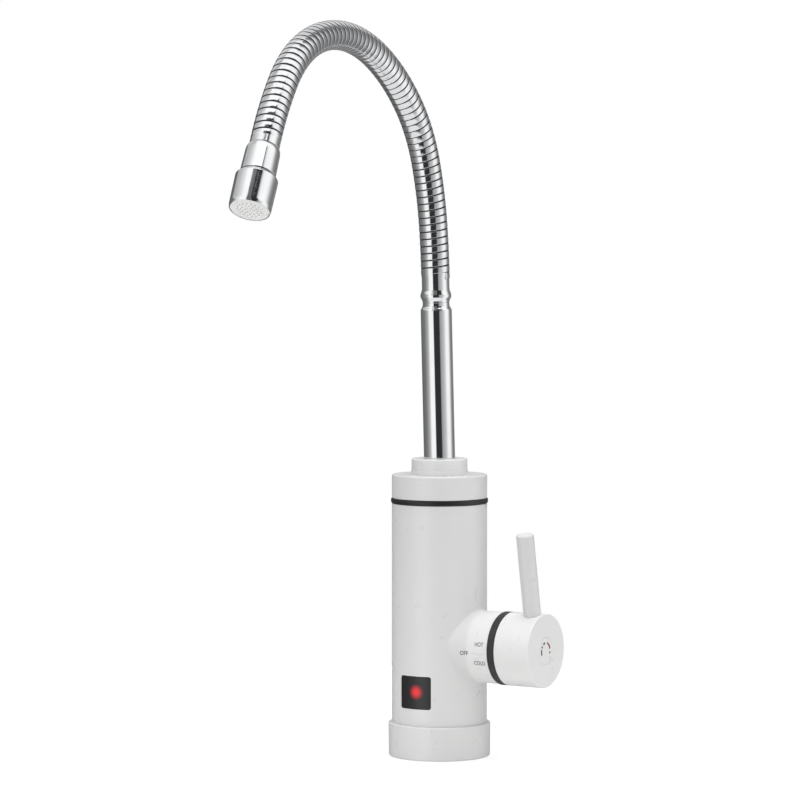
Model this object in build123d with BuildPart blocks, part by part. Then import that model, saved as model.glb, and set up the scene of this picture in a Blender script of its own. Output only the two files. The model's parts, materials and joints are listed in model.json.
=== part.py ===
from build123d import *
import os
from math import asin, cos, degrees, radians, sin, tan

# An electric instant water heater tap, in millimetres. The origin is the mouth of the water inlet in the
# middle of the base, +Z is up, -Y is the front with the display and the spout, +X is the side of the knob.

os.makedirs("parts", exist_ok=True)

# Clearances
thread_gap = 0.05
running_gap = 0.08
face_gap = 0.05
loose_gap = 0.3

# Body shell and base ring
body_radius = 30.0
body_wall = 2.2
body_top = 159.4
shell_foot = 8.0
ring_height = 21.1
ring_radius = 32.2
ring_taper = 0.25
ring_crevice = 0.15
ring_edge = 0.8
ring_flange = 2.0
ring_flange_reach = 3.8
gasket_inner = 28.5
gasket_outer = 31.0
gasket_depth = 2.0

# Base plate, its screws and the water inlet
plate_thickness = 3.0
plate_radius = 26.9
plate_screw_count = 3
plate_screw_circle = 20.0
screw_radius = 1.45
screw_head_radius = 2.8
screw_head = 1.9
inlet_radius = 12.5
inlet_neck = 18.0
inlet_flange_radius = 14.0
inlet_flange = 3.0
inlet_thread_radius = 9.316
inlet_thread_depth = 13.0
inlet_pipe_radius = 8.0
inlet_bore = 5.0
inlet_top = 34.0
seal_thickness = 1.5
filter_radius = 8.0
filter_thickness = 1.5
filter_hole = 0.9
filter_pitch = 2.6
gland_offset = 19.0
gland_radius = 4.8
gland_neck = 4.0
gland_bore = 3.3
gland_lip = 1.5
gland_height = 6.0

# Chassis
chassis_level = 26.0
chassis_thickness = 3.0
chassis_radius = 27.4
post_radius = 3.5
lug_width = 8.0
lug_inner = 20.0
lug_height = 13.0
side_screw_heading = 121.5
side_screw_height = 36.5
side_screw_reach = 7.0
side_recess_radius = 2.4
side_recess_depth = 1.3
side_head = 0.7

# Display
window_width = 21.7
window_height = 20.7
window_foot = 32.0
window_corner = 1.5
window_thickness = 2.0
window_gap = 0.1
board_front = 24.0
board_thickness = 1.6
board_width = 24.0
board_height = 26.0
board_foot = 30.0
led_radius = 1.5
led_length = 3.2
led_height = 42.8

# Power board
power_front = 19.5
power_width = 34.0
power_foot = 29.3
power_height = 54.0
relay_size = (15.0, 7.6, 16.0)
capacitor_radius = 4.0
capacitor_length = 7.0
terminal_size = (12.0, 5.0, 8.0)

# Mixing valve on the knob's axis, which is parallel to X at knob_height
knob_height = 70.5
boss_radius = 22.5
boss_wall = 2.0
boss_end = 48.1
boss_flange_hole = 17.0
boss_blend = 1.5
manifold_radius = 16.0
manifold_back = -16.0
manifold_mouth = 42.0
cartridge_radius = 12.5
chamber_back = -3.0
manifold_pipe_radius = 11.0
manifold_socket_top = 36.0
inlet_channel_radius = 2.5
inlet_channel_x = -7.0
port_circle = 6.5
port_angle = 30.0
outlet_channel_radius = 2.2
outlet_x = -10.0
nozzle_radius = 4.0
nozzle_top = 90.0
pipe_radius = 3.0
pipe_bore = 2.0
pipe_socket = 3.0
disc_seal_radius = 11.0
disc_seal = 1.0
fixed_disc_radius = 12.0
disc_thickness = 3.5
moving_disc_radius = 10.5
cartridge_cup_radius = 11.0
cartridge_front = 34.0
stem_radius = 4.05
stem_foot_radius = 9.0
stem_foot = 3.0
stem_square = 5.7
stem_square_start = 58.0
stem_end = 66.0
stem_tongue = 2.0
cartridge_nut_flange = 3.0
cartridge_nut_radius = 15.5

# Bearing ring, knob and lever
ring_start_gap = 0.05
bearing_width = 4.9
bearing_radius = 23.0
bearing_bore = 16.0
nose_length = 3.4
knob_gap = 0.15
knob_end = 77.35
knob_radius = 23.0
knob_wall = 2.5
knob_face = 3.0
knob_edge = 0.5
hub_radius = 8.0
hub_start = 58.3
cap_disc_radius = 8.4
cap_disc = 1.2
knob_screw_head_radius = 2.8
knob_screw_head = 2.2
knob_screw_length = 12.0
lever_x = 70.0
lever_lean = 10.4
lever_radius = 5.5
lever_reach = 74.5
lever_root = 12.0
lever_edge = 1.2
lever_socket_radius = 7.0
handle_turn = 45.0
stop_width = 6.0
stop_reach = 4.0
stop_spare = 0.5

# Flow switch on the hot outlet
switch_y = 8.5
switch_radius = 9.0
switch_foot = 86.9
switch_rim = 93.0
switch_chamber_radius = 6.5
switch_chamber = 2.0
switch_duct = 0.9
lobe_x = 3.6
lobe_radius = 4.2
lobe_top = 96.0
diaphragm_thickness = 0.8
switch_cover_height = 9.1
spring_chamber_radius = 5.5
spring_chamber = 7.6
plunger_foot_radius = 4.0
plunger_foot = 1.5
plunger_rod = 1.5
plunger_height = 10.6
spring_radius = 3.0
spring_wire = 0.35
spring_turns = 4
microswitch_size = (12.0, 6.0, 5.0)
microswitch_foot = 105.9
switch_arm = (4.0, 3.0, 0.5)

# Tank
tank_foot = 111.0
tank_base_thickness = 4.5
tank_base_radius = 24.0
tank_radius = 22.5
tank_wall = 1.5
tank_rim = 5.5
tank_top = 148.0
tank_seal_depth = 1.2
tank_outlet_radius = 5.0
tank_outlet_bore = 3.5
tank_outlet_top = 152.0
coil_radius = 14.0
coil_wire = 2.0
coil_bead = 2.2
coil_turns = 3
coil_lift = 6.5
coil_gap = 0.3
terminal_reach = 4.5
cutout_radius = 4.4
cutout_height = 5.0
cutout_x = -18.0

# Cap, collar and the socket that the spout turns in
oring_height = 3.5
oring_radius = 30.6
oring_rounding = 1.2
cap_top = 177.6
cap_edge = 0.8
cap_wall = 3.0
skirt_foot = 154.0
skirt_wall = 2.2
socket_foot = 149.5
socket_floor = 3.0
socket_radius = 13.0
socket_bore = 9.9
socket_top = 185.9
socket_flange_radius = 17.5
socket_flange = 3.0
collar_radius = 17.55
collar_top = 187.6
collar_rim_radius = 17.9
collar_rim = 2.65
collar_hole = 10.4
collar_lip = 1.6
collar_edge = 0.8

# Spout
spigot_foot = 153.2
spigot_shoulder = 166.0
spigot_neck_top = 180.0
nipple_radius = 3.75
nipple_top = 187.0
orings_at = (155.0, 158.8)
oring_groove_height = 1.8
oring_section = 1.55
ring_level = 163.0
ring_thickness = 1.2
ring_depth = 1.2
tube_radius = 9.8
tube_wall = 1.0
tube_shoulder = 282.6
ferrule_insert = 10.6
ferrule_groove_top = 286.5
ferrule_groove_radius = 8.3
ferrule_bulge_top = 292.2
ferrule_bulge_radius = 9.75
ferrule_bulge_edge = 0.9
ferrule_neck_radius = 8.75
hose_foot = 302.0
ferrule_bore = 5.6
ferrule_spigot_radius = 6.5
ferrule_spigot = 5.0

# Gooseneck: banded links, each an arc of the bend. The lean from the vertical at every joint is in degrees,
# and the bend's heading turns evenly from the first to the last, 0 being the front.
hose_lean = (1.8, 5.4, 14.9, 38.3, 59.6, 85.6, 111.6, 139.1, 149.2)
hose_bands = (7, 9, 9, 9, 9, 9, 9, 9)
first_heading = -15.4
last_heading = 11.3
band_pitch = 4.53
band_groove = 0.9
band_radius = 9.0
band_root = 7.5
band_edge = 0.6
link_core_radius = 8.2
link_bore = 7.0
dome_bore = 6.9
dome_root = 0.4
dome_radius = 8.1
dome_reach = 2.2
skirt_bore = 8.35
skirt_depth = 3.2
inner_hose_radius = 5.5
inner_hose_bore = 4.0

# Outlet end, measured along the spout from the end of the gooseneck
end_neck = 6.9
end_neck_radius = 8.9
end_dome = 11.7
end_dome_radius = 10.25
end_ferrule_length = 25.6
end_ferrule_radius = 10.6
end_ferrule_floor = 12.6
end_thread_radius = 8.6
end_gasket = 1.4
housing_cone = 28.4
housing_radius = 12.7
housing_end = 49.7
housing_end_radius = 12.45
housing_edge = 0.5
housing_wall = 0.9
housing_throat = 5.5
spray_recess = 0.3
spray_thickness = 1.6
spray_hole = 0.5
spray_ring_pitch = 2.4
spray_rings = 3

# Places worked out from these sizes
shell_inner = body_radius - body_wall
plate_top = shell_foot - ring_flange
plate_foot = plate_top - plate_thickness
chassis_top = chassis_level + chassis_thickness
seal_top = plate_top + seal_thickness
boss_inner = boss_radius - boss_wall
cap_foot = body_top + oring_height
manifold_foot = chassis_top + loose_gap
fixed_disc_start = chamber_back + disc_seal
moving_disc_start = fixed_disc_start + disc_thickness + face_gap
cartridge_start = fixed_disc_start + disc_thickness + face_gap
stem_start = moving_disc_start + disc_thickness + face_gap
cup_end = stem_start + stem_foot + loose_gap
bearing_start = boss_end + ring_start_gap
bearing_end = bearing_start + bearing_width
knob_start = bearing_end + knob_gap
knob_inner = knob_radius - knob_wall
tank_floor = tank_foot + tank_base_thickness
terminal_foot = tank_foot - terminal_reach
coil_foot = tank_floor + coil_lift
coil_head = tank_top - tank_wall - coil_gap - coil_bead
coil_pitch = (coil_head - coil_foot) / coil_turns
ferrule_foot = tube_shoulder - ferrule_insert
port_y = port_circle * cos(radians(port_angle))
port_z = knob_height + port_circle * sin(radians(port_angle))
inlet_port_z = knob_height - port_circle
switch_top = switch_rim + diaphragm_thickness + 2 * face_gap + switch_cover_height
knob_axis = Axis((0, 0, knob_height), (1, 0, 0))


def slab(inner, outer, low, high):
    """Fill the rectangle from inner to outer and from low to high in the sketch in hand."""
    Polygon((inner, low), (outer, low), (outer, high), (inner, high), align=None)


def across_x(x, y=0.0, z=knob_height):
    """The plane across X at (x, y, z), with +Y as its first direction and +Z as its second."""
    return Plane(origin=(x, y, z), x_dir=(0, 1, 0), z_dir=(1, 0, 0))


def side_plane(heading, radius, height):
    """The plane that faces outward at a heading round the body, 0 being the front."""
    outward = Vector(sin(radians(heading)), -cos(radians(heading)), 0)
    return Plane(origin=outward * radius + Vector(0, 0, height), x_dir=(0, 0, 1), z_dir=outward)


def lean_direction(lean, heading):
    """The unit vector that leans from the vertical towards a heading, both in degrees."""
    flat = sin(radians(lean))
    return Vector(flat * sin(radians(heading)), -flat * cos(radians(heading)), cos(radians(lean)))


def polar_points(radius, count, start):
    """Points spaced evenly on a circle, the first at the angle start."""
    turns = [radians(start + 360 * i / count) for i in range(count)]
    return [(radius * cos(turn), radius * sin(turn)) for turn in turns]


class Bend:
    """One arc of the gooseneck's axis, from the direction before it to the direction after it."""

    def __init__(self, start, before, after, length):
        self.start = start
        self.before = before
        self.length = length
        self.angle = before.get_angle(after)
        self.radius = length / radians(self.angle)
        self.inward = (after - before * before.dot(after)).normalized()
        self.axis = Axis(start + self.inward * self.radius, before.cross(after))
        self.end = self.plane(length).origin

    def plane(self, distance):
        """The plane across the axis at this distance along the arc."""
        turn = distance / self.radius
        origin = self.start + self.before * (self.radius * sin(turn)) + self.inward * (self.radius * (1 - cos(turn)))
        ahead = self.before * cos(turn) + self.inward * sin(turn)
        return Plane(origin=origin, x_dir=self.inward * cos(turn) - self.before * sin(turn), z_dir=ahead)


def gooseneck():
    """The gooseneck's arcs, from the tube's end to the outlet end."""
    band_count = sum(hose_bands)
    done = [sum(hose_bands[:i]) for i in range(len(hose_bands) + 1)]
    headings = [first_heading + (last_heading - first_heading) * n / band_count for n in done]
    ahead = [lean_direction(lean, heading) for lean, heading in zip(hose_lean, headings)]
    start = Vector(0, 0, collar_top) + ahead[0] * ((hose_foot - collar_top) / ahead[0].Z)
    arcs = []
    for i, bands in enumerate(hose_bands):
        arcs.append(Bend(start, ahead[i], ahead[i + 1], bands * band_pitch))
        start = arcs[-1].end
    return arcs


bends = gooseneck()
spout_ahead = bends[0].before


def spout_plane(height):
    """The plane across the leaning spout tube where its axis is at this height."""
    distance = (height - collar_top) / spout_ahead.Z
    return Plane(origin=Vector(0, 0, collar_top) + spout_ahead * distance, z_dir=spout_ahead)


def spout_length(low, high):
    """The length along the leaning tube between two heights."""
    return (high - low) / spout_ahead.Z


def turned_plane(place):
    """The plane along a place's axis, with its first direction out from the axis and its second along it."""
    return Plane(origin=place.origin, x_dir=place.x_dir, z_dir=place.x_dir.cross(place.z_dir))


# Base ring with the flange that the body shell stands on
with BuildPart() as base_ring:
    with BuildSketch(Plane.XZ) as ring_profile:
        Polygon(
            (plate_radius + loose_gap, 0),
            (ring_radius - ring_taper, 0),
            (ring_radius, ring_height),
            (body_radius + ring_crevice, ring_height),
            (body_radius + ring_crevice, shell_foot),
            (shell_inner - ring_flange_reach, shell_foot),
            (shell_inner - ring_flange_reach, plate_top),
            (plate_radius + loose_gap, plate_top),
            align=None,
        )
        fillet(ring_profile.vertices().group_by(Axis.X)[-1], ring_edge)
    revolve(axis=Axis.Z)
    with BuildSketch(Plane.XZ):
        slab(gasket_inner, gasket_outer, 0, gasket_depth)
    revolve(axis=Axis.Z, mode=Mode.SUBTRACT)
base_ring.part.label = "base_ring"
export_step(base_ring.part, "parts/base_ring.step")

# Rubber gasket under the ring
with BuildPart() as base_gasket:
    with BuildSketch(Plane.XZ):
        slab(gasket_inner + thread_gap, gasket_outer - thread_gap, 0, gasket_depth - face_gap)
    revolve(axis=Axis.Z)
base_gasket.part.label = "base_gasket"
export_step(base_gasket.part, "parts/base_gasket.step")

# Base plate with holes for the inlet, the cable and its screws
with BuildPart() as base_plate:
    with BuildSketch(Plane.XY.offset(plate_foot)):
        Circle(plate_radius)
        Circle(inlet_radius + thread_gap, mode=Mode.SUBTRACT)
        with Locations((0, gland_offset)):
            Circle(gland_neck + thread_gap, mode=Mode.SUBTRACT)
        with Locations(*polar_points(plate_screw_circle, plate_screw_count, 30)):
            Circle(screw_radius + thread_gap, mode=Mode.SUBTRACT)
    extrude(amount=plate_thickness - face_gap)
base_plate.part.label = "base_plate"
export_step(base_plate.part, "parts/base_plate.step")

# Screws from the base plate up into the chassis posts
with BuildPart() as base_screws:
    with Locations(*polar_points(plate_screw_circle, plate_screw_count, 30)):
        with Locations((0, 0, plate_foot - face_gap)):
            Cylinder(screw_head_radius, screw_head, align=(Align.CENTER, Align.CENTER, Align.MAX))
            Cylinder(screw_radius, chassis_level - 2 * plate_foot, align=(Align.CENTER, Align.CENTER, Align.MIN))
        with Locations((0, 0, plate_foot - face_gap - screw_head)):
            drive_depth = screw_head / 2
            Cylinder(screw_radius, drive_depth, align=(Align.CENTER, Align.CENTER, Align.MIN), mode=Mode.SUBTRACT)
base_screws.part.label = "base_screws"
export_step(base_screws.part, "parts/base_screws.step")

# Brass inlet with a female thread at its mouth and a filter seat above it
with BuildPart() as inlet_fitting:
    with BuildSketch(Plane.XZ):
        slab(inlet_bore, inlet_pipe_radius, inlet_thread_depth, inlet_top)
        slab(inlet_thread_radius, inlet_radius, 0, inlet_thread_depth)
        slab(inlet_bore, inlet_radius, inlet_thread_depth, inlet_neck)
        slab(inlet_radius, inlet_flange_radius, seal_top, seal_top + inlet_flange)
        seat_radius = filter_radius + thread_gap
        Polygon(
            (inlet_bore, inlet_thread_depth),
            (seat_radius, inlet_thread_depth),
            (seat_radius, inlet_thread_depth + filter_thickness),
            (inlet_bore, inlet_thread_depth + filter_thickness),
            align=None,
            mode=Mode.SUBTRACT,
        )
    revolve(axis=Axis.Z)
inlet_fitting.part.label = "inlet_fitting"
export_step(inlet_fitting.part, "parts/inlet_fitting.step")

# Inlet filter, a pierced disc
with BuildPart() as inlet_filter:
    with BuildSketch(Plane.XY.offset(inlet_thread_depth + face_gap)):
        Circle(filter_radius)
        with HexLocations(filter_pitch / 2, 5, 5):
            Circle(filter_hole, mode=Mode.SUBTRACT)
    extrude(amount=filter_thickness - 2 * face_gap)
inlet_filter.part.label = "inlet_filter"
export_step(inlet_filter.part, "parts/inlet_filter.step")

# Rubber sealing washers: under the inlet's flange, behind the fixed disc and under the tank
with BuildPart() as water_seals:
    with BuildSketch(Plane.XY.offset(plate_top)):
        Circle(inlet_flange_radius)
        Circle(inlet_radius + thread_gap, mode=Mode.SUBTRACT)
    extrude(amount=seal_thickness - face_gap)
    with BuildSketch(across_x(chamber_back + face_gap)):
        Circle(disc_seal_radius)
        with Locations((port_y, port_z - knob_height), (-port_y, port_z - knob_height), (0, -port_circle)):
            Circle(inlet_channel_radius, mode=Mode.SUBTRACT)
    extrude(amount=disc_seal - 2 * face_gap)
    with BuildSketch(Plane.XY.offset(tank_floor - tank_seal_depth + face_gap)):
        Circle(tank_radius - thread_gap)
        Circle(tank_radius - tank_wall + thread_gap, mode=Mode.SUBTRACT)
    extrude(amount=tank_seal_depth - face_gap)
water_seals.part.label = "water_seals"
export_step(water_seals.part, "parts/water_seals.step")

# Rubber gland for the mains cable
with BuildPart() as cable_gland:
    with BuildSketch(Plane(origin=(0, gland_offset, 0), x_dir=(1, 0, 0), z_dir=(0, -1, 0))):
        slab(gland_bore, gland_radius, plate_foot - face_gap - gland_lip, plate_foot - face_gap)
        slab(gland_bore, gland_neck, plate_foot - gland_lip, plate_top + face_gap)
        slab(gland_bore, gland_radius, plate_top + face_gap, plate_top + gland_height)
    revolve(axis=Axis((0, gland_offset, 0), (0, 0, 1)))
cable_gland.part.label = "cable_gland"
export_step(cable_gland.part, "parts/cable_gland.step")

# Chassis: a plate on three posts, with a lug on each side for the screws that hold the shell
with BuildPart() as chassis:
    with BuildSketch(Plane.XY.offset(chassis_level)):
        Circle(chassis_radius)
        Circle(inlet_pipe_radius + loose_gap, mode=Mode.SUBTRACT)
        with Locations((0, gland_offset)):
            Circle(gland_neck, mode=Mode.SUBTRACT)
    extrude(amount=chassis_thickness)
    with BuildSketch(Plane.XY.offset(plate_top)):
        with Locations(*polar_points(plate_screw_circle, plate_screw_count, 30)):
            Circle(post_radius)
    extrude(amount=chassis_level - plate_top)
    for heading in (side_screw_heading, side_screw_heading - 180):
        with BuildSketch(side_plane(heading, lug_inner, chassis_level)):
            slab(0, chassis_thickness + lug_height, -lug_width / 2, lug_width / 2)
        extrude(amount=chassis_radius - lug_inner)
        with BuildSketch(side_plane(heading, lug_inner, side_screw_height)):
            Circle(screw_radius + thread_gap)
        extrude(amount=chassis_radius - lug_inner, mode=Mode.SUBTRACT)
    with BuildSketch(Plane.XY.offset(plate_top)):
        with Locations(*polar_points(plate_screw_circle, plate_screw_count, 30)):
            Circle(screw_radius + thread_gap)
    extrude(amount=chassis_top - plate_top, mode=Mode.SUBTRACT)
chassis.part.label = "chassis"
export_step(chassis.part, "parts/chassis.step")

# Body shell with the knob's boss, the display opening and the screw recesses
with BuildPart() as body_shell:
    with BuildSketch(Plane.XY.offset(shell_foot + face_gap)):
        Circle(body_radius)
    extrude(amount=body_top - shell_foot - face_gap)
    with BuildSketch(across_x(0)):
        Circle(boss_radius)
    extrude(amount=boss_end)
    boss_seam = body_shell.edges().filter_by(GeomType.BSPLINE).filter_by(lambda edge: edge.center().X > 0)
    fillet(boss_seam, boss_blend)
    with BuildSketch(Plane.XY.offset(shell_foot)):
        Circle(shell_inner)
    extrude(amount=body_top - shell_foot, mode=Mode.SUBTRACT)
    with BuildSketch(across_x(0)):
        Circle(boss_inner)
    extrude(amount=boss_end - boss_wall, mode=Mode.SUBTRACT)
    with BuildSketch(across_x(boss_end - boss_wall)):
        Circle(boss_flange_hole)
    extrude(amount=boss_wall, mode=Mode.SUBTRACT)
    with BuildSketch(Plane.XZ) as opening:
        with Locations((0, window_foot + window_height / 2)):
            RectangleRounded(window_width, window_height, window_corner)
    extrude(amount=body_radius, mode=Mode.SUBTRACT)
    for heading in (side_screw_heading, side_screw_heading - 180):
        with BuildSketch(side_plane(heading, lug_inner, side_screw_height)):
            Circle(screw_radius + thread_gap)
        extrude(amount=body_radius - lug_inner, mode=Mode.SUBTRACT)
        with BuildSketch(side_plane(heading, body_radius - side_recess_depth, side_screw_height)):
            Circle(side_recess_radius)
        extrude(amount=side_recess_depth, mode=Mode.SUBTRACT)
body_shell.part.label = "body_shell"
export_step(body_shell.part, "parts/body_shell.step")

# Screws through the shell into the chassis lugs
with BuildPart() as side_screws:
    for heading in (side_screw_heading, side_screw_heading - 180):
        seat = body_radius - side_recess_depth + face_gap
        with BuildSketch(side_plane(heading, seat - side_screw_reach, side_screw_height)):
            Circle(screw_radius)
        extrude(amount=side_screw_reach)
        with BuildSketch(side_plane(heading, seat, side_screw_height)):
            Circle(side_recess_radius - loose_gap / 2)
        extrude(amount=side_head)
        with BuildSketch(side_plane(heading, seat + side_head / 2, side_screw_height)):
            RegularPolygon(screw_radius / 2, 6)
        extrude(amount=side_head / 2, mode=Mode.SUBTRACT)
side_screws.part.label = "side_screws"
export_step(side_screws.part, "parts/side_screws.step")

# Display window, curved flush with the shell
with BuildPart() as display_window:
    with BuildSketch(Plane.XY.offset(window_foot)):
        Circle(body_radius)
        Circle(body_radius - window_thickness, mode=Mode.SUBTRACT)
    extrude(amount=window_height)
    with BuildSketch(Plane.XZ):
        with Locations((0, window_foot + window_height / 2)):
            RectangleRounded(
                window_width - 2 * window_gap,
                window_height - 2 * window_gap,
                window_corner - window_gap,
            )
    extrude(amount=body_radius, mode=Mode.INTERSECT)
display_window.part.label = "display_window"
export_step(display_window.part, "parts/display_window.step")

# Display board behind the window
with BuildPart() as display_board:
    with BuildSketch(Plane.XZ.offset(board_front - board_thickness)):
        with Locations((0, board_foot + board_height / 2)):
            Rectangle(board_width, board_height)
    extrude(amount=board_thickness)
display_board.part.label = "display_board"
export_step(display_board.part, "parts/display_board.step")

# Status lamp on the display board
with BuildPart() as status_led:
    with BuildSketch(Plane.XZ.offset(board_front + face_gap)):
        with Locations((0, led_height)):
            Circle(led_radius)
    extrude(amount=led_length)
status_led.part.label = "status_led"
export_step(status_led.part, "parts/status_led.step")

# Power board with its relay, capacitor and terminal block
with BuildPart() as power_board:
    with BuildSketch(Plane.XZ.offset(-power_front - board_thickness)):
        with Locations((0, power_foot + power_height / 2)):
            Rectangle(power_width, power_height)
    extrude(amount=board_thickness)
    with Locations((-relay_size[0] / 2 - board_thickness, power_front, power_foot + capacitor_radius)):
        Box(*relay_size, align=(Align.CENTER, Align.MAX, Align.MIN))
    with BuildSketch(Plane.XZ.offset(-power_front)):
        with Locations((relay_size[0] / 2, power_foot + relay_size[2] / 2)):
            Circle(capacitor_radius)
    extrude(amount=capacitor_length)
    with Locations((terminal_size[0] / 2, power_front, power_foot + relay_size[2] + capacitor_radius)):
        Box(*terminal_size, align=(Align.CENTER, Align.MAX, Align.MIN))
power_board.part.label = "power_board"
export_step(power_board.part, "parts/power_board.step")

# Valve manifold: the cartridge's barrel, the inlet pipe below it and two outlet nozzles above it
with BuildPart() as valve_manifold:
    with BuildSketch(across_x(manifold_back)):
        Circle(manifold_radius)
    extrude(amount=manifold_mouth - manifold_back)
    with BuildSketch(Plane.XY.offset(manifold_foot)):
        Circle(manifold_pipe_radius)
    extrude(amount=knob_height - manifold_foot)
    with BuildSketch(Plane.XY.offset(knob_height)):
        with Locations((outlet_x, port_y), (outlet_x, -port_y)):
            Circle(nozzle_radius)
    extrude(amount=nozzle_top - knob_height)
    with BuildSketch(across_x(chamber_back)):
        Circle(cartridge_radius + thread_gap)
    extrude(amount=manifold_mouth - chamber_back, mode=Mode.SUBTRACT)
    with BuildSketch(Plane.XY.offset(manifold_foot)):
        Circle(inlet_pipe_radius + thread_gap)
    extrude(amount=manifold_socket_top - manifold_foot, mode=Mode.SUBTRACT)
    with BuildSketch(Plane.XY.offset(manifold_socket_top)):
        with Locations((inlet_channel_x, 0)):
            Circle(inlet_channel_radius)
    extrude(amount=inlet_port_z - manifold_socket_top, mode=Mode.SUBTRACT)
    with BuildSketch(across_x(inlet_channel_x, 0, inlet_port_z)):
        Circle(inlet_channel_radius)
    extrude(amount=chamber_back - inlet_channel_x, mode=Mode.SUBTRACT)
    with BuildSketch(Plane.XY.offset(port_z)):
        with Locations((outlet_x, port_y), (outlet_x, -port_y)):
            Circle(outlet_channel_radius)
    extrude(amount=nozzle_top - port_z, mode=Mode.SUBTRACT)
    with BuildSketch(across_x(outlet_x, 0, port_z)):
        with Locations((port_y, 0), (-port_y, 0)):
            Circle(outlet_channel_radius)
    extrude(amount=chamber_back - outlet_x, mode=Mode.SUBTRACT)
    with BuildSketch(Plane.XY.offset(nozzle_top - pipe_socket)):
        with Locations((outlet_x, -port_y)):
            Circle(pipe_radius + thread_gap)
    extrude(amount=pipe_socket, mode=Mode.SUBTRACT)
valve_manifold.part.label = "valve_manifold"
export_step(valve_manifold.part, "parts/valve_manifold.step")

# Ceramic disc that stays still, with the inlet, hot and cold ports
with BuildPart() as fixed_disc:
    with BuildSketch(across_x(fixed_disc_start)):
        Circle(fixed_disc_radius)
        with Locations((port_y, port_z - knob_height), (-port_y, port_z - knob_height), (0, -port_circle)):
            Circle(inlet_channel_radius, mode=Mode.SUBTRACT)
    extrude(amount=disc_thickness)
fixed_disc.part.label = "fixed_disc"
export_step(fixed_disc.part, "parts/fixed_disc.step")

# Ceramic disc that turns with the knob: its hollow joins the inlet to one of the outlets
with BuildPart() as moving_disc:
    with BuildSketch(across_x(moving_disc_start)):
        Circle(moving_disc_radius)
    extrude(amount=disc_thickness)
    with BuildSketch(across_x(moving_disc_start)):
        SlotCenterToCenter(port_circle, 2 * outlet_channel_radius, rotation=90)
    extrude(amount=disc_thickness / 2, mode=Mode.SUBTRACT)
    with BuildSketch(across_x(moving_disc_start + disc_thickness - stem_tongue)):
        Rectangle(2 * moving_disc_radius, stem_square)
    extrude(amount=stem_tongue, mode=Mode.SUBTRACT)
moving_disc.part.label = "moving_disc"
export_step(moving_disc.part, "parts/moving_disc.step")

# Cartridge body round the moving disc and the stem
with BuildPart() as cartridge_body:
    with BuildSketch(Plane.XZ):
        slab(cartridge_start, cartridge_front, knob_height + stem_radius + running_gap, knob_height + cartridge_radius)
        Polygon(
            (cartridge_start, knob_height),
            (cup_end, knob_height),
            (cup_end, knob_height + cartridge_cup_radius),
            (cartridge_start, knob_height + cartridge_cup_radius),
            align=None,
            mode=Mode.SUBTRACT,
        )
    revolve(axis=knob_axis)
cartridge_body.part.label = "cartridge_body"
export_step(cartridge_body.part, "parts/cartridge_body.step")

# Nut that holds the cartridge in the barrel
with BuildPart() as cartridge_nut:
    nut_bore = stem_radius + running_gap
    with BuildSketch(Plane.XZ):
        slab(cartridge_front + face_gap, manifold_mouth, knob_height + nut_bore, knob_height + cartridge_radius)
    revolve(axis=knob_axis)
    with BuildSketch(across_x(manifold_mouth + face_gap)):
        RegularPolygon(cartridge_nut_radius, 6)
        Circle(nut_bore, mode=Mode.SUBTRACT)
    extrude(amount=cartridge_nut_flange)
    with BuildSketch(across_x(manifold_mouth)):
        Circle(cartridge_radius)
        Circle(nut_bore, mode=Mode.SUBTRACT)
    extrude(amount=face_gap)
cartridge_nut.part.label = "cartridge_nut"
export_step(cartridge_nut.part, "parts/cartridge_nut.step")

# Valve stem: a foot with a tongue in the moving disc, a shaft and a square end in the knob
with BuildPart() as valve_stem:
    with BuildSketch(across_x(stem_start)):
        Circle(stem_foot_radius)
    extrude(amount=stem_foot)
    with BuildSketch(across_x(stem_start - stem_tongue + face_gap)):
        Rectangle(2 * stem_foot_radius - stem_tongue, stem_square - 2 * thread_gap)
    extrude(amount=stem_tongue)
    with BuildSketch(across_x(stem_start)):
        Circle(stem_radius)
    extrude(amount=stem_square_start - stem_start)
    with BuildSketch(across_x(stem_square_start)):
        Rectangle(stem_square, stem_square)
    extrude(amount=stem_end - stem_square_start)
    with BuildSketch(across_x(stem_square_start)):
        Circle(screw_radius + thread_gap)
    extrude(amount=stem_end - stem_square_start, mode=Mode.SUBTRACT)
valve_stem.part.label = "valve_stem"
export_step(valve_stem.part, "parts/valve_stem.step")

# Black bearing ring on the boss: its nose carries the knob and is cut away where the knob's stop swings
with BuildPart() as bearing_ring:
    with BuildSketch(Plane.XZ):
        slab(boss_end - boss_wall, bearing_start, knob_height + bearing_bore, knob_height + boss_flange_hole - thread_gap)
        slab(bearing_start, bearing_end, knob_height + bearing_bore, knob_height + bearing_radius)
        slab(bearing_end, bearing_end + nose_length, knob_height + bearing_bore, knob_height + knob_inner - running_gap)
    revolve(axis=knob_axis)
    stop_half = degrees(asin(stop_width / 2 / (knob_inner - stop_reach)))
    gap_half = radians(handle_turn + stop_half + stop_spare)
    far = 2 * bearing_radius
    with BuildSketch(across_x(bearing_end)):
        Polygon(
            (0, 0),
            (-far * sin(gap_half), -far * cos(gap_half)),
            (0, -2 * far),
            (far * sin(gap_half), -far * cos(gap_half)),
            align=None,
        )
    extrude(amount=nose_length, mode=Mode.SUBTRACT)
bearing_ring.part.label = "bearing_ring"
export_step(bearing_ring.part, "parts/bearing_ring.step")

# Knob: a cup with a hub for the stem, a socket for the lever and a stop inside its rim
lever_ahead = Vector(0, -sin(radians(lever_lean)), cos(radians(lever_lean)))


def lever_plane(reach):
    """The plane across the lever at this distance from the knob's axis."""
    return Plane(origin=Vector(lever_x, 0, knob_height) + lever_ahead * reach, x_dir=(1, 0, 0), z_dir=lever_ahead)


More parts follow.
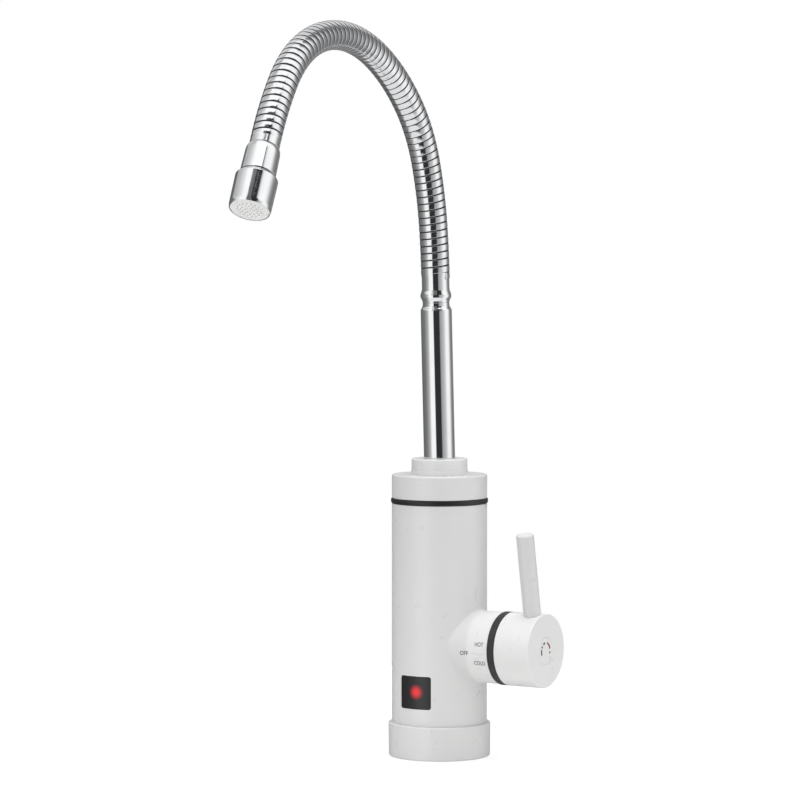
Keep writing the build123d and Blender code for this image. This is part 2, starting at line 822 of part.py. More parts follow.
recess_floor = knob_end - cap_disc - face_gap
hub_hole = stem_square + 2 * thread_gap
with BuildPart() as knob:
    with BuildSketch(across_x(knob_start)):
        Circle(knob_radius)
    extrude(amount=knob_end - knob_start)
    fillet(knob.edges().sort_by(Axis.X)[-1], knob_edge)
    with BuildSketch(across_x(knob_start)):
        Circle(knob_inner)
    extrude(amount=knob_end - knob_face - knob_start, mode=Mode.SUBTRACT)
    with BuildSketch(across_x(hub_start)):
        Circle(hub_radius)
    extrude(amount=knob_end - knob_face - hub_start)
    with BuildSketch(lever_plane(0)):
        Circle(lever_socket_radius)
    extrude(amount=knob_inner + knob_wall / 2)
    with BuildSketch(across_x(knob_start, 0, knob_height - knob_inner)):
        slab(-stop_width / 2, stop_width / 2, -knob_wall / 2, stop_reach)
    extrude(amount=nose_length)
    with BuildSketch(lever_plane(lever_root)):
        Circle(lever_radius + thread_gap)
    extrude(amount=knob_radius, mode=Mode.SUBTRACT)
    with BuildSketch(across_x(hub_start)):
        Rectangle(hub_hole, hub_hole)
    extrude(amount=stem_end + loose_gap - hub_start, mode=Mode.SUBTRACT)
    with BuildSketch(across_x(stem_end)):
        Circle(screw_radius + thread_gap)
    extrude(amount=knob_end - stem_end, mode=Mode.SUBTRACT)
    with BuildSketch(across_x(recess_floor)):
        Circle(cap_disc_radius + thread_gap)
    extrude(amount=knob_end - recess_floor, mode=Mode.SUBTRACT)
    with BuildSketch(across_x(recess_floor - knob_screw_head - 2 * face_gap)):
        Circle(knob_screw_head_radius + thread_gap)
    extrude(amount=knob_screw_head + 2 * face_gap, mode=Mode.SUBTRACT)
knob.part.label = "knob"
export_step(knob.part, "parts/knob.step")

# Screw through the knob into the stem
with BuildPart() as knob_screw:
    with BuildSketch(across_x(recess_floor - knob_screw_head - face_gap)):
        Circle(knob_screw_head_radius)
    extrude(amount=knob_screw_head)
    with BuildSketch(across_x(recess_floor - face_gap - knob_screw_head)):
        Circle(screw_radius)
    extrude(amount=-knob_screw_length)
    with BuildSketch(across_x(recess_floor - face_gap - knob_screw_head / 2)):
        RegularPolygon(screw_radius, 6)
    extrude(amount=knob_screw_head / 2, mode=Mode.SUBTRACT)
knob_screw.part.label = "knob_screw"
export_step(knob_screw.part, "parts/knob_screw.step")

# Round cover over the knob's screw
with BuildPart() as index_cap:
    with BuildSketch(across_x(recess_floor + face_gap)):
        Circle(cap_disc_radius)
    extrude(amount=cap_disc)
index_cap.part.label = "index_cap"
export_step(index_cap.part, "parts/index_cap.step")

# Lever
with BuildPart() as lever:
    with BuildSketch(lever_plane(lever_root + face_gap)):
        Circle(lever_radius)
    extrude(amount=lever_reach - lever_root - face_gap)
    fillet(lever.edges().sort_by(Axis.Z)[-1], lever_edge)
lever.part.label = "lever"
export_step(lever.part, "parts/lever.step")

# Flow switch body on the hot nozzle, with a lobe for the pipe to the tank
with BuildPart() as flow_switch_body:
    with BuildSketch(Plane.XY.offset(switch_foot)):
        with Locations((outlet_x, switch_y)):
            Circle(switch_radius)
        with Locations((lobe_x, switch_y)):
            Circle(lobe_radius)
        with Locations(((outlet_x + lobe_x) / 2, switch_y)):
            Rectangle(lobe_x - outlet_x, 2 * lobe_radius)
    extrude(amount=switch_rim - switch_foot)
    with BuildSketch(Plane.XY.offset(switch_rim)):
        with Locations((lobe_x, switch_y)):
            Circle(lobe_radius)
    extrude(amount=lobe_top - switch_rim)
    with BuildSketch(Plane.XY.offset(switch_foot)):
        with Locations((outlet_x, port_y)):
            Circle(nozzle_radius + thread_gap)
    extrude(amount=nozzle_top + face_gap - switch_foot, mode=Mode.SUBTRACT)
    with BuildSketch(Plane.XY.offset(nozzle_top)):
        with Locations((outlet_x, port_y)):
            Circle(outlet_channel_radius)
    extrude(amount=switch_rim - nozzle_top, mode=Mode.SUBTRACT)
    with BuildSketch(Plane.XY.offset(switch_rim - switch_chamber)):
        with Locations((outlet_x, switch_y)):
            Circle(switch_chamber_radius)
    extrude(amount=switch_chamber, mode=Mode.SUBTRACT)
    with BuildSketch(across_x(outlet_x, switch_y, switch_rim - switch_chamber / 2)):
        Circle(switch_duct)
    extrude(amount=lobe_x - outlet_x, mode=Mode.SUBTRACT)
    with BuildSketch(Plane.XY.offset(switch_rim - switch_chamber)):
        with Locations((lobe_x, switch_y)):
            Circle(pipe_bore)
    extrude(amount=switch_chamber, mode=Mode.SUBTRACT)
    with BuildSketch(Plane.XY.offset(lobe_top - pipe_socket)):
        with Locations((lobe_x, switch_y)):
            Circle(pipe_radius + thread_gap)
    extrude(amount=pipe_socket, mode=Mode.SUBTRACT)
flow_switch_body.part.label = "flow_switch_body"
export_step(flow_switch_body.part, "parts/flow_switch_body.step")

# Rubber diaphragm that the water lifts
diaphragm_foot = switch_rim + face_gap
with BuildPart() as diaphragm:
    with BuildSketch(Plane.XY.offset(diaphragm_foot)):
        with Locations((outlet_x, switch_y)):
            Circle(switch_radius)
    extrude(amount=diaphragm_thickness)
diaphragm.part.label = "diaphragm"
export_step(diaphragm.part, "parts/diaphragm.step")

# Flow switch cover, with the chamber for the plunger and its spring
cover_foot = diaphragm_foot + diaphragm_thickness + face_gap
with BuildPart() as flow_switch_cover:
    with BuildSketch(Plane.XY.offset(cover_foot)):
        with Locations((outlet_x, switch_y)):
            Circle(switch_radius)
    extrude(amount=switch_cover_height)
    with BuildSketch(Plane.XY.offset(cover_foot)):
        with Locations((outlet_x, switch_y)):
            Circle(spring_chamber_radius)
    extrude(amount=spring_chamber, mode=Mode.SUBTRACT)
    with BuildSketch(Plane.XY.offset(cover_foot)):
        with Locations((outlet_x, switch_y)):
            Circle(plunger_rod + running_gap)
    extrude(amount=switch_cover_height, mode=Mode.SUBTRACT)
flow_switch_cover.part.label = "flow_switch_cover"
export_step(flow_switch_cover.part, "parts/flow_switch_cover.step")

# Plunger between the diaphragm and the microswitch
with BuildPart() as plunger:
    with BuildSketch(Plane.XY.offset(cover_foot)):
        with Locations((outlet_x, switch_y)):
            Circle(plunger_foot_radius)
    extrude(amount=plunger_foot)
    with BuildSketch(Plane.XY.offset(cover_foot)):
        with Locations((outlet_x, switch_y)):
            Circle(plunger_rod)
    extrude(amount=plunger_height)
plunger.part.label = "plunger"
export_step(plunger.part, "parts/plunger.step")

# Return spring round the plunger's rod
spring_foot = cover_foot + plunger_foot + spring_wire + face_gap
spring_height = spring_chamber - plunger_foot - 2 * (spring_wire + face_gap)
with BuildPart() as plunger_spring:
    with BuildLine() as spring_path:
        Helix(spring_height / spring_turns, spring_height, spring_radius, center=(outlet_x, switch_y, spring_foot))
    with BuildSketch(Plane(origin=spring_path.line @ 0, z_dir=spring_path.line % 0)):
        Circle(spring_wire)
    sweep()
plunger_spring.part.label = "plunger_spring"
export_step(plunger_spring.part, "parts/plunger_spring.step")

# Microswitch above the plunger, hung from an arm on its side
with BuildPart() as microswitch:
    with Locations((outlet_x, switch_y, microswitch_foot)):
        Box(*microswitch_size, align=(Align.CENTER, Align.CENTER, Align.MIN))
    with Locations((outlet_x, switch_y + microswitch_size[1] / 2, microswitch_foot)):
        Box(*switch_arm, align=(Align.CENTER, Align.MIN, Align.MIN))
microswitch.part.label = "microswitch"
export_step(microswitch.part, "parts/microswitch.step")

# Copper pipes: hot from the flow switch and cold from the manifold, both to the tank base
hot_pipe_foot = lobe_top - pipe_socket + face_gap
cold_pipe_foot = nozzle_top - pipe_socket + face_gap
pipe_top = tank_foot + pipe_socket - face_gap
with BuildPart() as feed_pipes:
    for x, y, foot in ((lobe_x, switch_y, hot_pipe_foot), (outlet_x, -port_y, cold_pipe_foot)):
        with BuildSketch(Plane.XY.offset(foot)):
            with Locations((x, y)):
                Circle(pipe_radius)
                Circle(pipe_bore, mode=Mode.SUBTRACT)
        extrude(amount=pipe_top - foot)
feed_pipes.part.label = "feed_pipes"
export_step(feed_pipes.part, "parts/feed_pipes.step")

# Tank base: a screw cap with sockets for the pipes and holes for the heating coil's ends
with BuildPart() as tank_base:
    with BuildSketch(Plane.XY.offset(tank_foot)):
        Circle(tank_base_radius)
    extrude(amount=tank_base_thickness + tank_rim)
    with BuildSketch(Plane.XY.offset(tank_floor)):
        Circle(tank_radius + thread_gap)
    extrude(amount=tank_rim, mode=Mode.SUBTRACT)
    with BuildSketch(Plane.XY.offset(tank_floor - tank_seal_depth)):
        Circle(tank_radius)
        Circle(tank_radius - tank_wall, mode=Mode.SUBTRACT)
    extrude(amount=tank_seal_depth, mode=Mode.SUBTRACT)
    with BuildSketch(Plane.XY.offset(tank_foot)):
        with Locations((lobe_x, switch_y), (outlet_x, -port_y)):
            Circle(pipe_radius + thread_gap)
    extrude(amount=pipe_socket, mode=Mode.SUBTRACT)
    with BuildSketch(Plane.XY.offset(tank_foot)):
        with Locations((lobe_x, switch_y), (outlet_x, -port_y)):
            Circle(pipe_bore)
        with Locations((0, 0), (coil_radius, 0)):
            Circle(coil_wire + thread_gap)
    extrude(amount=tank_base_thickness, mode=Mode.SUBTRACT)
tank_base.part.label = "tank_base"
export_step(tank_base.part, "parts/tank_base.step")

# Tank shell with the outlet tube on top
with BuildPart() as tank_shell:
    tank_inner = tank_radius - tank_wall
    with BuildSketch(Plane.XZ):
        slab(tank_inner, tank_radius, tank_floor + face_gap, tank_top)
        slab(tank_outlet_bore, tank_radius, tank_top - tank_wall, tank_top)
        slab(tank_outlet_bore, tank_outlet_radius, tank_top - tank_wall, tank_outlet_top)
    revolve(axis=Axis.Z)
tank_shell.part.label = "tank_shell"
export_step(tank_shell.part, "parts/tank_shell.step")

# Heating coil: a helix with one end going down beside it and the other down its middle
with BuildPart() as heating_coil:
    with BuildLine() as coil_path:
        Helix(coil_pitch, coil_head - coil_foot, coil_radius, center=(0, 0, coil_foot))
    with BuildSketch(Plane(origin=coil_path.line @ 0, z_dir=coil_path.line % 0)):
        Circle(coil_wire)
    sweep()
    with Locations((coil_radius, 0, coil_foot), (coil_radius, 0, coil_head), (0, 0, coil_head)):
        Sphere(coil_bead)
    with BuildSketch(Plane.XY.offset(terminal_foot)):
        with Locations((coil_radius, 0)):
            Circle(coil_wire)
    extrude(amount=coil_foot - terminal_foot)
    with BuildSketch(Plane.XY.offset(terminal_foot)):
        Circle(coil_wire)
    extrude(amount=coil_head - terminal_foot)
    with BuildSketch(across_x(0, 0, coil_head)):
        Circle(coil_wire)
    extrude(amount=coil_radius)
heating_coil.part.label = "heating_coil"
export_step(heating_coil.part, "parts/heating_coil.step")

# Thermal cut-out on top of the tank
with BuildPart() as thermal_cutout:
    with BuildSketch(Plane.XY.offset(tank_top + face_gap)):
        with Locations((cutout_x, 0)):
            Circle(cutout_radius)
    extrude(amount=cutout_height)
thermal_cutout.part.label = "thermal_cutout"
export_step(thermal_cutout.part, "parts/thermal_cutout.step")

# Cap: a lid with a skirt inside the shell and a hole for the spout's socket
skirt_radius = shell_inner - thread_gap
with BuildPart() as cap:
    with BuildSketch(Plane.XZ) as cap_profile:
        slab(skirt_radius - skirt_wall, skirt_radius, skirt_foot, cap_foot + cap_wall)
        slab(skirt_radius - skirt_wall, body_radius, cap_foot + face_gap, cap_top)
        slab(socket_radius + loose_gap, body_radius - cap_wall, cap_top - cap_wall, cap_top)
        fillet(cap_profile.vertices().sort_by_distance((body_radius, cap_top))[0], cap_edge)
    revolve(axis=Axis.Z)
cap.part.label = "cap"
export_step(cap.part, "parts/cap.step")

# Black rubber ring between the shell and the cap
with BuildPart() as cap_oring:
    with BuildSketch(Plane.XZ) as oring_profile:
        slab(skirt_radius + thread_gap, oring_radius, body_top + face_gap, cap_foot)
        fillet(oring_profile.vertices().group_by(Axis.X)[-1], oring_rounding)
    revolve(axis=Axis.Z)
cap_oring.part.label = "cap_oring"
export_step(cap_oring.part, "parts/cap_oring.step")

# Spout socket, screwed on the tank's outlet, with its flange under the cap
socket_bore_foot = socket_foot + socket_floor
with BuildPart() as spout_socket:
    with BuildSketch(Plane.XZ):
        slab(tank_outlet_radius + thread_gap, socket_radius, socket_foot, socket_bore_foot)
        slab(socket_bore, socket_radius, socket_bore_foot, socket_top)
        flange_top = cap_top - cap_wall - face_gap
        slab(socket_bore, socket_flange_radius, flange_top - socket_flange, flange_top)
    revolve(axis=Axis.Z)
    with BuildSketch(Plane.XZ):
        groove_top = ring_level + ring_thickness + loose_gap
        slab(socket_bore - ring_depth, socket_bore + ring_depth, ring_level - loose_gap, groove_top)
    revolve(axis=Axis.Z, mode=Mode.SUBTRACT)
spout_socket.part.label = "spout_socket"
export_step(spout_socket.part, "parts/spout_socket.step")

# Collar nut on the socket's thread above the cap
with BuildPart() as collar_nut:
    with BuildSketch(Plane.XZ) as collar_profile:
        slab(socket_radius + thread_gap, collar_radius, cap_top + face_gap, collar_top)
        slab(collar_hole, collar_radius, collar_top - collar_lip, collar_top)
        slab(socket_radius + thread_gap, collar_rim_radius, cap_top + face_gap, cap_top + collar_rim)
        fillet(collar_profile.vertices().sort_by_distance((collar_radius, collar_top))[0], collar_edge)
    revolve(axis=Axis.Z)
collar_nut.part.label = "collar_nut"
export_step(collar_nut.part, "parts/collar_nut.step")

# Spigot on which the spout turns: two seal grooves, a ring groove, a neck in the tube and a hose nipple
spigot_radius = socket_bore - running_gap
tube_inner = tube_radius - tube_wall
with BuildPart() as spout_spigot:
    with BuildSketch(Plane.XZ):
        slab(inner_hose_bore - tube_wall, spigot_radius, spigot_foot, spigot_shoulder)
        slab(inner_hose_bore - tube_wall, tube_inner - thread_gap, spigot_shoulder, spigot_neck_top)
        slab(inner_hose_bore - tube_wall, nipple_radius, spigot_neck_top, nipple_top)
    revolve(axis=Axis.Z)
    with BuildSketch(Plane.XZ):
        for level in orings_at:
            slab(spigot_radius - oring_section, socket_radius, level, level + oring_groove_height)
        slab(spigot_radius - ring_depth, socket_radius, ring_level - face_gap, ring_level + ring_thickness + face_gap)
    revolve(axis=Axis.Z, mode=Mode.SUBTRACT)
spout_spigot.part.label = "spout_spigot"
export_step(spout_spigot.part, "parts/spout_spigot.step")

# Sealing rings in the spigot's two grooves
with BuildPart() as spigot_orings:
    with BuildSketch(Plane.XZ):
        for level in orings_at:
            foot = level + face_gap
            seal_inner = spigot_radius - oring_section + thread_gap
            slab(seal_inner, socket_bore - thread_gap, foot, foot + oring_section)
    revolve(axis=Axis.Z)
spigot_orings.part.label = "spigot_orings"
export_step(spigot_orings.part, "parts/spigot_orings.step")

# Split ring that keeps the spigot in its socket
with BuildPart() as retaining_ring:
    with BuildSketch(Plane.XY.offset(ring_level)):
        Circle(socket_bore + ring_depth - loose_gap)
        Circle(spigot_radius - ring_depth + thread_gap, mode=Mode.SUBTRACT)
        with Locations((0, socket_bore)):
            Rectangle(ring_depth, 2 * ring_depth + tube_wall, mode=Mode.SUBTRACT)
    extrude(amount=ring_thickness)
retaining_ring.part.label = "retaining_ring"
export_step(retaining_ring.part, "parts/retaining_ring.step")

# Spout tube: upright in the collar, then leaning a little to the front
with BuildPart() as spout_tube:
    with BuildLine():
        Polyline((0, 0, spigot_shoulder + face_gap), (0, 0, collar_top), spout_plane(tube_shoulder).origin)
    with BuildSketch(Plane.XY.offset(spigot_shoulder + face_gap)):
        Circle(tube_radius)
        Circle(tube_inner, mode=Mode.SUBTRACT)
    sweep(transition=Transition.RIGHT)
spout_tube.part.label = "spout_tube"
export_step(spout_tube.part, "parts/spout_tube.step")


def along_spout(height):
    """How far along the leaning tube this height is, from the tube's shoulder."""
    return spout_length(tube_shoulder, height)


# Ferrule between the tube and the gooseneck: a groove, a bulge and a neck, with a spigot in the hose
shoulder_place = spout_plane(tube_shoulder)
hose_start = along_spout(hose_foot)
with BuildPart() as lower_ferrule:
    with BuildSketch(turned_plane(shoulder_place)) as ferrule_profile:
        slab(ferrule_bore, tube_inner - thread_gap, along_spout(ferrule_foot), 0)
        slab(ferrule_bore, ferrule_groove_radius, 0, along_spout(ferrule_groove_top))
        slab(ferrule_bore, ferrule_bulge_radius, along_spout(ferrule_groove_top), along_spout(ferrule_bulge_top))
        slab(ferrule_bore, ferrule_neck_radius, along_spout(ferrule_bulge_top), hose_start - face_gap)
        slab(ferrule_bore, ferrule_spigot_radius, hose_start - face_gap, hose_start + ferrule_spigot)
        fillet(ferrule_profile.vertices().group_by(Axis.X)[-1], ferrule_bulge_edge)
    revolve(axis=Axis(shoulder_place.origin, shoulder_place.z_dir))
lower_ferrule.part.label = "lower_ferrule"
export_step(lower_ferrule.part, "parts/lower_ferrule.step")

# Inner hose that carries the water through the tube and the gooseneck
inner_hose_foot = spigot_neck_top + face_gap
with BuildPart() as inner_hose:
    with BuildLine():
        Polyline((0, 0, inner_hose_foot), (0, 0, collar_top), bends[0].start)
    with BuildSketch(Plane.XY.offset(inner_hose_foot)):
        Circle(inner_hose_radius)
        Circle(inner_hose_bore, mode=Mode.SUBTRACT)
    sweep(transition=Transition.RIGHT)
    for bend in bends:
        with BuildSketch(bend.plane(0)):
            Circle(inner_hose_radius)
            Circle(inner_hose_bore, mode=Mode.SUBTRACT)
        revolve(axis=bend.axis, revolution_arc=bend.angle)
inner_hose.part.label = "inner_hose"
export_step(inner_hose.part, "parts/inner_hose.step")

# Gooseneck links: bands on a curved core. A dome at each link's end sits in the skirt of the next.
band_half = (band_pitch - band_groove) / 2
core_start = band_groove / 2 + skirt_depth + running_gap
for number, bend in enumerate(bends, start=1):
    first = number == 1
    last = number == len(bends)
    start_place = bend.plane(0)
    end_place = bend.plane(bend.length)
    with BuildPart() as hose_link:
        count = hose_bands[number - 1]
        for band in range(count):
            if band == 0:
                place = Plane(start_place.origin + start_place.z_dir * (band_pitch / 2), start_place.x_dir, start_place.z_dir)
            elif band == count - 1:
                place = Plane(end_place.origin - end_place.z_dir * (band_pitch / 2), end_place.x_dir, end_place.z_dir)
            else:
                place = bend.plane((band + 0.5) * band_pitch)
            with BuildSketch(turned_plane(place)) as band_profile:
                slab(band_root, band_radius, -band_half, band_half)
                fillet(band_profile.vertices().group_by(Axis.X)[-1], band_edge)
            revolve(axis=Axis(place.origin, place.z_dir))
        skirt_end = band_groove / 2 + skirt_depth
        if not first:
            with BuildSketch(turned_plane(start_place)):
                slab(0, skirt_bore, 0, skirt_end)
            revolve(axis=Axis(start_place.origin, start_place.z_dir), mode=Mode.SUBTRACT)
        trim = 0 if first else core_start
        reach = bend.length if last else bend.length - band_pitch / 2
        with BuildSketch(bend.plane(trim)):
            Circle(link_core_radius)
            Circle(link_bore, mode=Mode.SUBTRACT)
        revolve(axis=bend.axis, revolution_arc=bend.angle * (reach - trim) / bend.length)
        if not last:
            with BuildSketch(turned_plane(end_place)):
                with BuildLine():
                    dome_turn = degrees(asin(dome_reach / dome_radius))
                    dome = CenterArc((0, 0), dome_radius, 0, dome_turn)
                    dome_start = -band_pitch / 2 - dome_root
                    Polyline(
                        dome @ 1,
                        (dome_bore, dome_reach),
                        (dome_bore, dome_start),
                        (dome_radius, dome_start),
                        dome @ 0,
                    )
                make_face()
            revolve(axis=Axis(end_place.origin, end_place.z_dir))
    hose_link.part.label = f"hose_link_{number}"
    export_step(hose_link.part, f"parts/hose_link_{number}.step")

# Outlet end: a ferrule on the gooseneck, which the aerator housing screws into
end_place = bends[-1].plane(bends[-1].length)
end_plane = turned_plane(end_place)
end_axis = Axis(end_place.origin, end_place.z_dir)
end_bore = inner_hose_bore - tube_wall
with BuildPart() as end_ferrule:
    with BuildSketch(end_plane):
        with BuildLine():
            TangentArc((end_dome_radius, end_dome), (end_neck_radius, end_neck), tangent=(0, -1))
            Polyline(
                (end_neck_radius, end_neck),
                (end_neck_radius, face_gap),
                (end_bore, face_gap),
                (end_bore, end_ferrule_floor),
                (end_thread_radius, end_ferrule_floor),
                (end_thread_radius, end_ferrule_length),
                (end_ferrule_radius, end_ferrule_length),
                (end_dome_radius, end_dome),
            )
        make_face()
        slab(end_bore, nipple_radius, -ferrule_spigot, face_gap)
        slab(inner_hose_radius + loose_gap, ferrule_spigot_radius, -ferrule_spigot, face_gap)
    revolve(axis=end_axis)
end_ferrule.part.label = "end_ferrule"
export_step(end_ferrule.part, "parts/end_ferrule.step")

# Washer between the ferrule and the housing's thread
gasket_end = end_ferrule_floor + end_gasket
with BuildPart() as aerator_gasket:
    with BuildSketch(end_plane):
        slab(housing_throat, end_thread_radius - thread_gap, end_ferrule_floor + face_gap, gasket_end)
    revolve(axis=end_axis)
aerator_gasket.part.label = "aerator_gasket"
export_step(aerator_gasket.part, "parts/aerator_gasket.step")

# Aerator housing: a threaded throat, a cone and a cup that narrows a little to its rim
spray_outer = housing_end_radius - housing_wall
cup_floor = housing_cone + housing_wall
with BuildPart() as aerator_housing:
    with BuildSketch(end_plane) as housing_profile:
        Polygon(
            (housing_throat, gasket_end + face_gap),
            (end_thread_radius - thread_gap, gasket_end + face_gap),
            (end_thread_radius - thread_gap, end_ferrule_length + face_gap),
            (end_ferrule_radius, end_ferrule_length + face_gap),
            (housing_radius, housing_cone),
            (housing_end_radius, housing_end),
            (spray_outer, housing_end),
            (spray_outer, cup_floor),
            (housing_throat, cup_floor),
            align=None,
        )
        fillet(housing_profile.vertices().sort_by_distance((housing_end_radius, housing_end))[0], housing_edge)
    revolve(axis=end_axis)
aerator_housing.part.label = "aerator_housing"
export_step(aerator_housing.part, "parts/aerator_housing.step")

# Spray face: a cup with rings of small holes
spray_end = housing_end - spray_recess
spray_ring = spray_outer - thread_gap
with BuildPart() as spray_face:
    with BuildSketch(end_plane):
        slab(0, spray_ring, spray_end - spray_thickness, spray_end)
        slab(spray_ring - housing_wall, spray_ring, cup_floor + face_gap, spray_end)
    revolve(axis=end_axis)
    with BuildSketch(end_place.offset(spray_end - spray_thickness)):
        Circle(spray_hole)
        for ring in range(1, spray_rings + 1):
            with PolarLocations(ring * spray_ring_pitch, 6 * ring):
                Circle(spray_hole)
    extrude(amount=spray_thickness, mode=Mode.SUBTRACT)
spray_face.part.label = "spray_face"
export_step(spray_face.part, "parts/spray_face.step")
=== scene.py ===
import json
from math import radians

import bpy
import numpy as np
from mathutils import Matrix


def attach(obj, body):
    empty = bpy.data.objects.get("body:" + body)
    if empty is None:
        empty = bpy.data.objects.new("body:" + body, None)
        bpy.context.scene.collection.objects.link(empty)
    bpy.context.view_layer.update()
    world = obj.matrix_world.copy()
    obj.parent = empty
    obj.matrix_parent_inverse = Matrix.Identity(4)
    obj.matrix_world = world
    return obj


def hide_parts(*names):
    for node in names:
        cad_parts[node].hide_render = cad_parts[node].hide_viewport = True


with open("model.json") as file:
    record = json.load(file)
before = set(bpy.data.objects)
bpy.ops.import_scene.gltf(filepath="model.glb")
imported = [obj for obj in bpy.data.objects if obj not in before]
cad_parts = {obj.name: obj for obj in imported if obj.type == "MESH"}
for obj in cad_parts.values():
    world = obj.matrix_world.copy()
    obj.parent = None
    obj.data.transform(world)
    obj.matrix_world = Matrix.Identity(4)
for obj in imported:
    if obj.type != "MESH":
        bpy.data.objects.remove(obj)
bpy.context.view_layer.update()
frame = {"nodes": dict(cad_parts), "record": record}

# Sizes in millimetres, the same as the solids'. Headings are degrees round the body from the front.
body_radius, body_inner, body_foot, body_top = 30.0, 27.8, 8.02, 159.4
ring_foot_radius, ring_radius, ring_height, ring_edge = 31.95, 32.2, 21.1, 0.8
ring_bore, ring_mouth, ring_flange_bore, ring_flange = 30.15, 30.0, 24.0, (6.0, 8.0)
window_centre, window_half = (0.0, 42.35), (10.85, 10.35)
window_corner, window_gap, window_depth, window_bevel = 1.5, 0.1, 2.0, 0.25
wall_edge, hair_gap, near_axis = 0.12, 0.02, 0.01
lamp_x, lamp_height, painted_glow_spread = 1.2, 42.8, 6.0
screw_headings, screw_height = (121.5, -58.5), 36.5
recess_radius, recess_depth, screw_bore = 2.4, 1.3, 1.5
knob_height = 70.5
boss_radius, boss_inner, boss_end, boss_blend, boss_edge = 22.5, 20.5, 48.1, 1.5, 0.3
boss_flange, boss_flange_hole = 46.1, 17.0
bearing_radius, bearing_bore, bearing_start, bearing_end = 23.0, 16.0, 48.15, 53.05
bearing_neck, bearing_neck_end = 20.3, 55.55
knob_radius, knob_start, knob_end, knob_wall, knob_edge = 23.0, 53.2, 77.35, 2.5, 0.5
knob_face, knob_bore = 3.0, 3.0
index_radius, index_floor, index_edge, index_seam = 8.4, 76.13, 0.25, 0.12
lever_x, lever_lean, lever_radius, lever_root, lever_reach, lever_edge = 70.0, 10.4, 5.5, 12.0, 74.5, 1.2
oring_radius, oring_bore, oring_foot, oring_top, oring_rounding = 30.6, 27.9, 159.42, 162.9, 1.2
cap_top, cap_edge, cap_lid, cap_bore = 177.6, 0.8, 3.0, 15.0
cap_skirt_foot, cap_skirt_bore, cap_skirt_radius = 154.0, 25.5, 27.7
collar_radius, collar_rim_radius, collar_rim, collar_top = 17.55, 17.9, 2.65, 187.6
collar_hole, collar_lip, collar_edge, collar_bore = 10.4, 1.6, 0.8, 15.1
tube_radius, tube_wall, tube_foot, shoulder_height = 9.8, 1.0, 186.0, 282.6
tube_inside = 0.5
ferrule_bore, ferrule_foot, ferrule_wall = 6.6, 272.0, 0.6
groove_radius, bulge_radius, bulge_height = 8.4, 9.75, 289.8
neck_foot, neck_radius, neck_lap, lap_step, hose_foot = 294.6, 8.65, 2.5, 0.15, 302.0
hose_lean = np.array([1.8, 5.4, 14.9, 38.3, 59.6, 85.6, 111.6, 139.1, 149.2])
hose_bands = np.array([7, 9, 9, 9, 9, 9, 9, 9])
first_heading, last_heading = -15.4, 11.3
band_pitch, strip_width, edge_width, edge_depth, strip_start, band_radius = 4.53, 3.66, 0.3, 0.16, -0.25, 9.0
strip_reach, strip_crown, strip_root, steps_per_band = 4.2, 0.06, 0.2, 72
core_radius, core_bore, water_radius, water_bore = 8.84, 7.0, 5.5, 4.0
sleeve_start_gap, sleeve_end_reach, sleeve_end_gap = 2.6, 2.4, 0.1
end_neck_radius, end_neck, end_dome_foot, end_dome, end_dome_radius = 8.9, 7.2, 9.0, 12.2, 10.3
end_radius, end_length, end_bore, end_throat, end_step = 10.6, 25.6, 8.6, 7.2, 13.0
seam, seam_depth = 0.45, 1.1
cone_top, housing_radius, housing_end, housing_end_radius = 28.4, 12.7, 49.7, 12.5
housing_neck, housing_neck_start, housing_throat, housing_floor = 8.55, 14.2, 5.5, 2.0
rim_radius, rim_height, rim_bend, bevel, spray_bore = 12.1, 2.0, 8.0, 0.2, 11.52
letter_height, letter_weight, mark_lift, mark_depth = 2.7, 0.014, 0.015, 0.03
line_start, line_length, line_angle, line_half = 36.6, 10.0, -4.6, 0.12
arc_radius, arc_width = 5.2, 1.4
floor_radius, floor_drop = 450.0, 0.2

# The camera, from the object's own place: its distance, heading, height and aim
camera_distance, camera_heading, camera_height = 2300.0, 31.5, 346.4
aim_heading, aim_drop, focal_pixels, frame_pixels, sensor = 32.12, 3.04, 3661.0, 800.0, 36.0

MM = 0.001
TURN = 2 * np.pi
WHITE = (1, 1, 1, 1)
UP = np.array([0, 0, 1.0])


# Shapes

def unit(vectors):
    """Vectors divided by their own lengths."""
    return vectors / np.linalg.norm(vectors, axis=-1, keepdims=True)


def towards(heading):
    """The flat direction at a heading: the sine of the heading along X, and its cosine along -Y."""
    turn = np.radians(heading)
    return np.stack([np.sin(turn), -np.cos(turn), np.zeros_like(turn)], -1)


def place_at(origin, ahead, across):
    """A place as an origin and three directions: across, the one square to both, and ahead."""
    ahead = unit(np.array(ahead, float))
    across = unit(across - ahead * np.dot(across, ahead))
    return np.array(origin, float), across, np.cross(ahead, across), ahead


def loft(rings, joined=False):
    """Quads between neighbouring rings of a (rings, points, 3) array.
    The last ring meets the first where joined is true, and otherwise a flat face closes each end."""
    count, around = rings.shape[:2]
    index = np.arange(count * around).reshape(count, around)
    low, high = (index, np.roll(index, -1, axis=0)) if joined else (index[:-1], index[1:])
    quads = np.stack([low, np.roll(low, -1, 1), np.roll(high, -1, 1), high], -1).reshape(-1, 4)
    ends = [] if joined else [index[:1, ::-1], index[-1:]]
    return rings.reshape(-1, 3), [quads] + ends


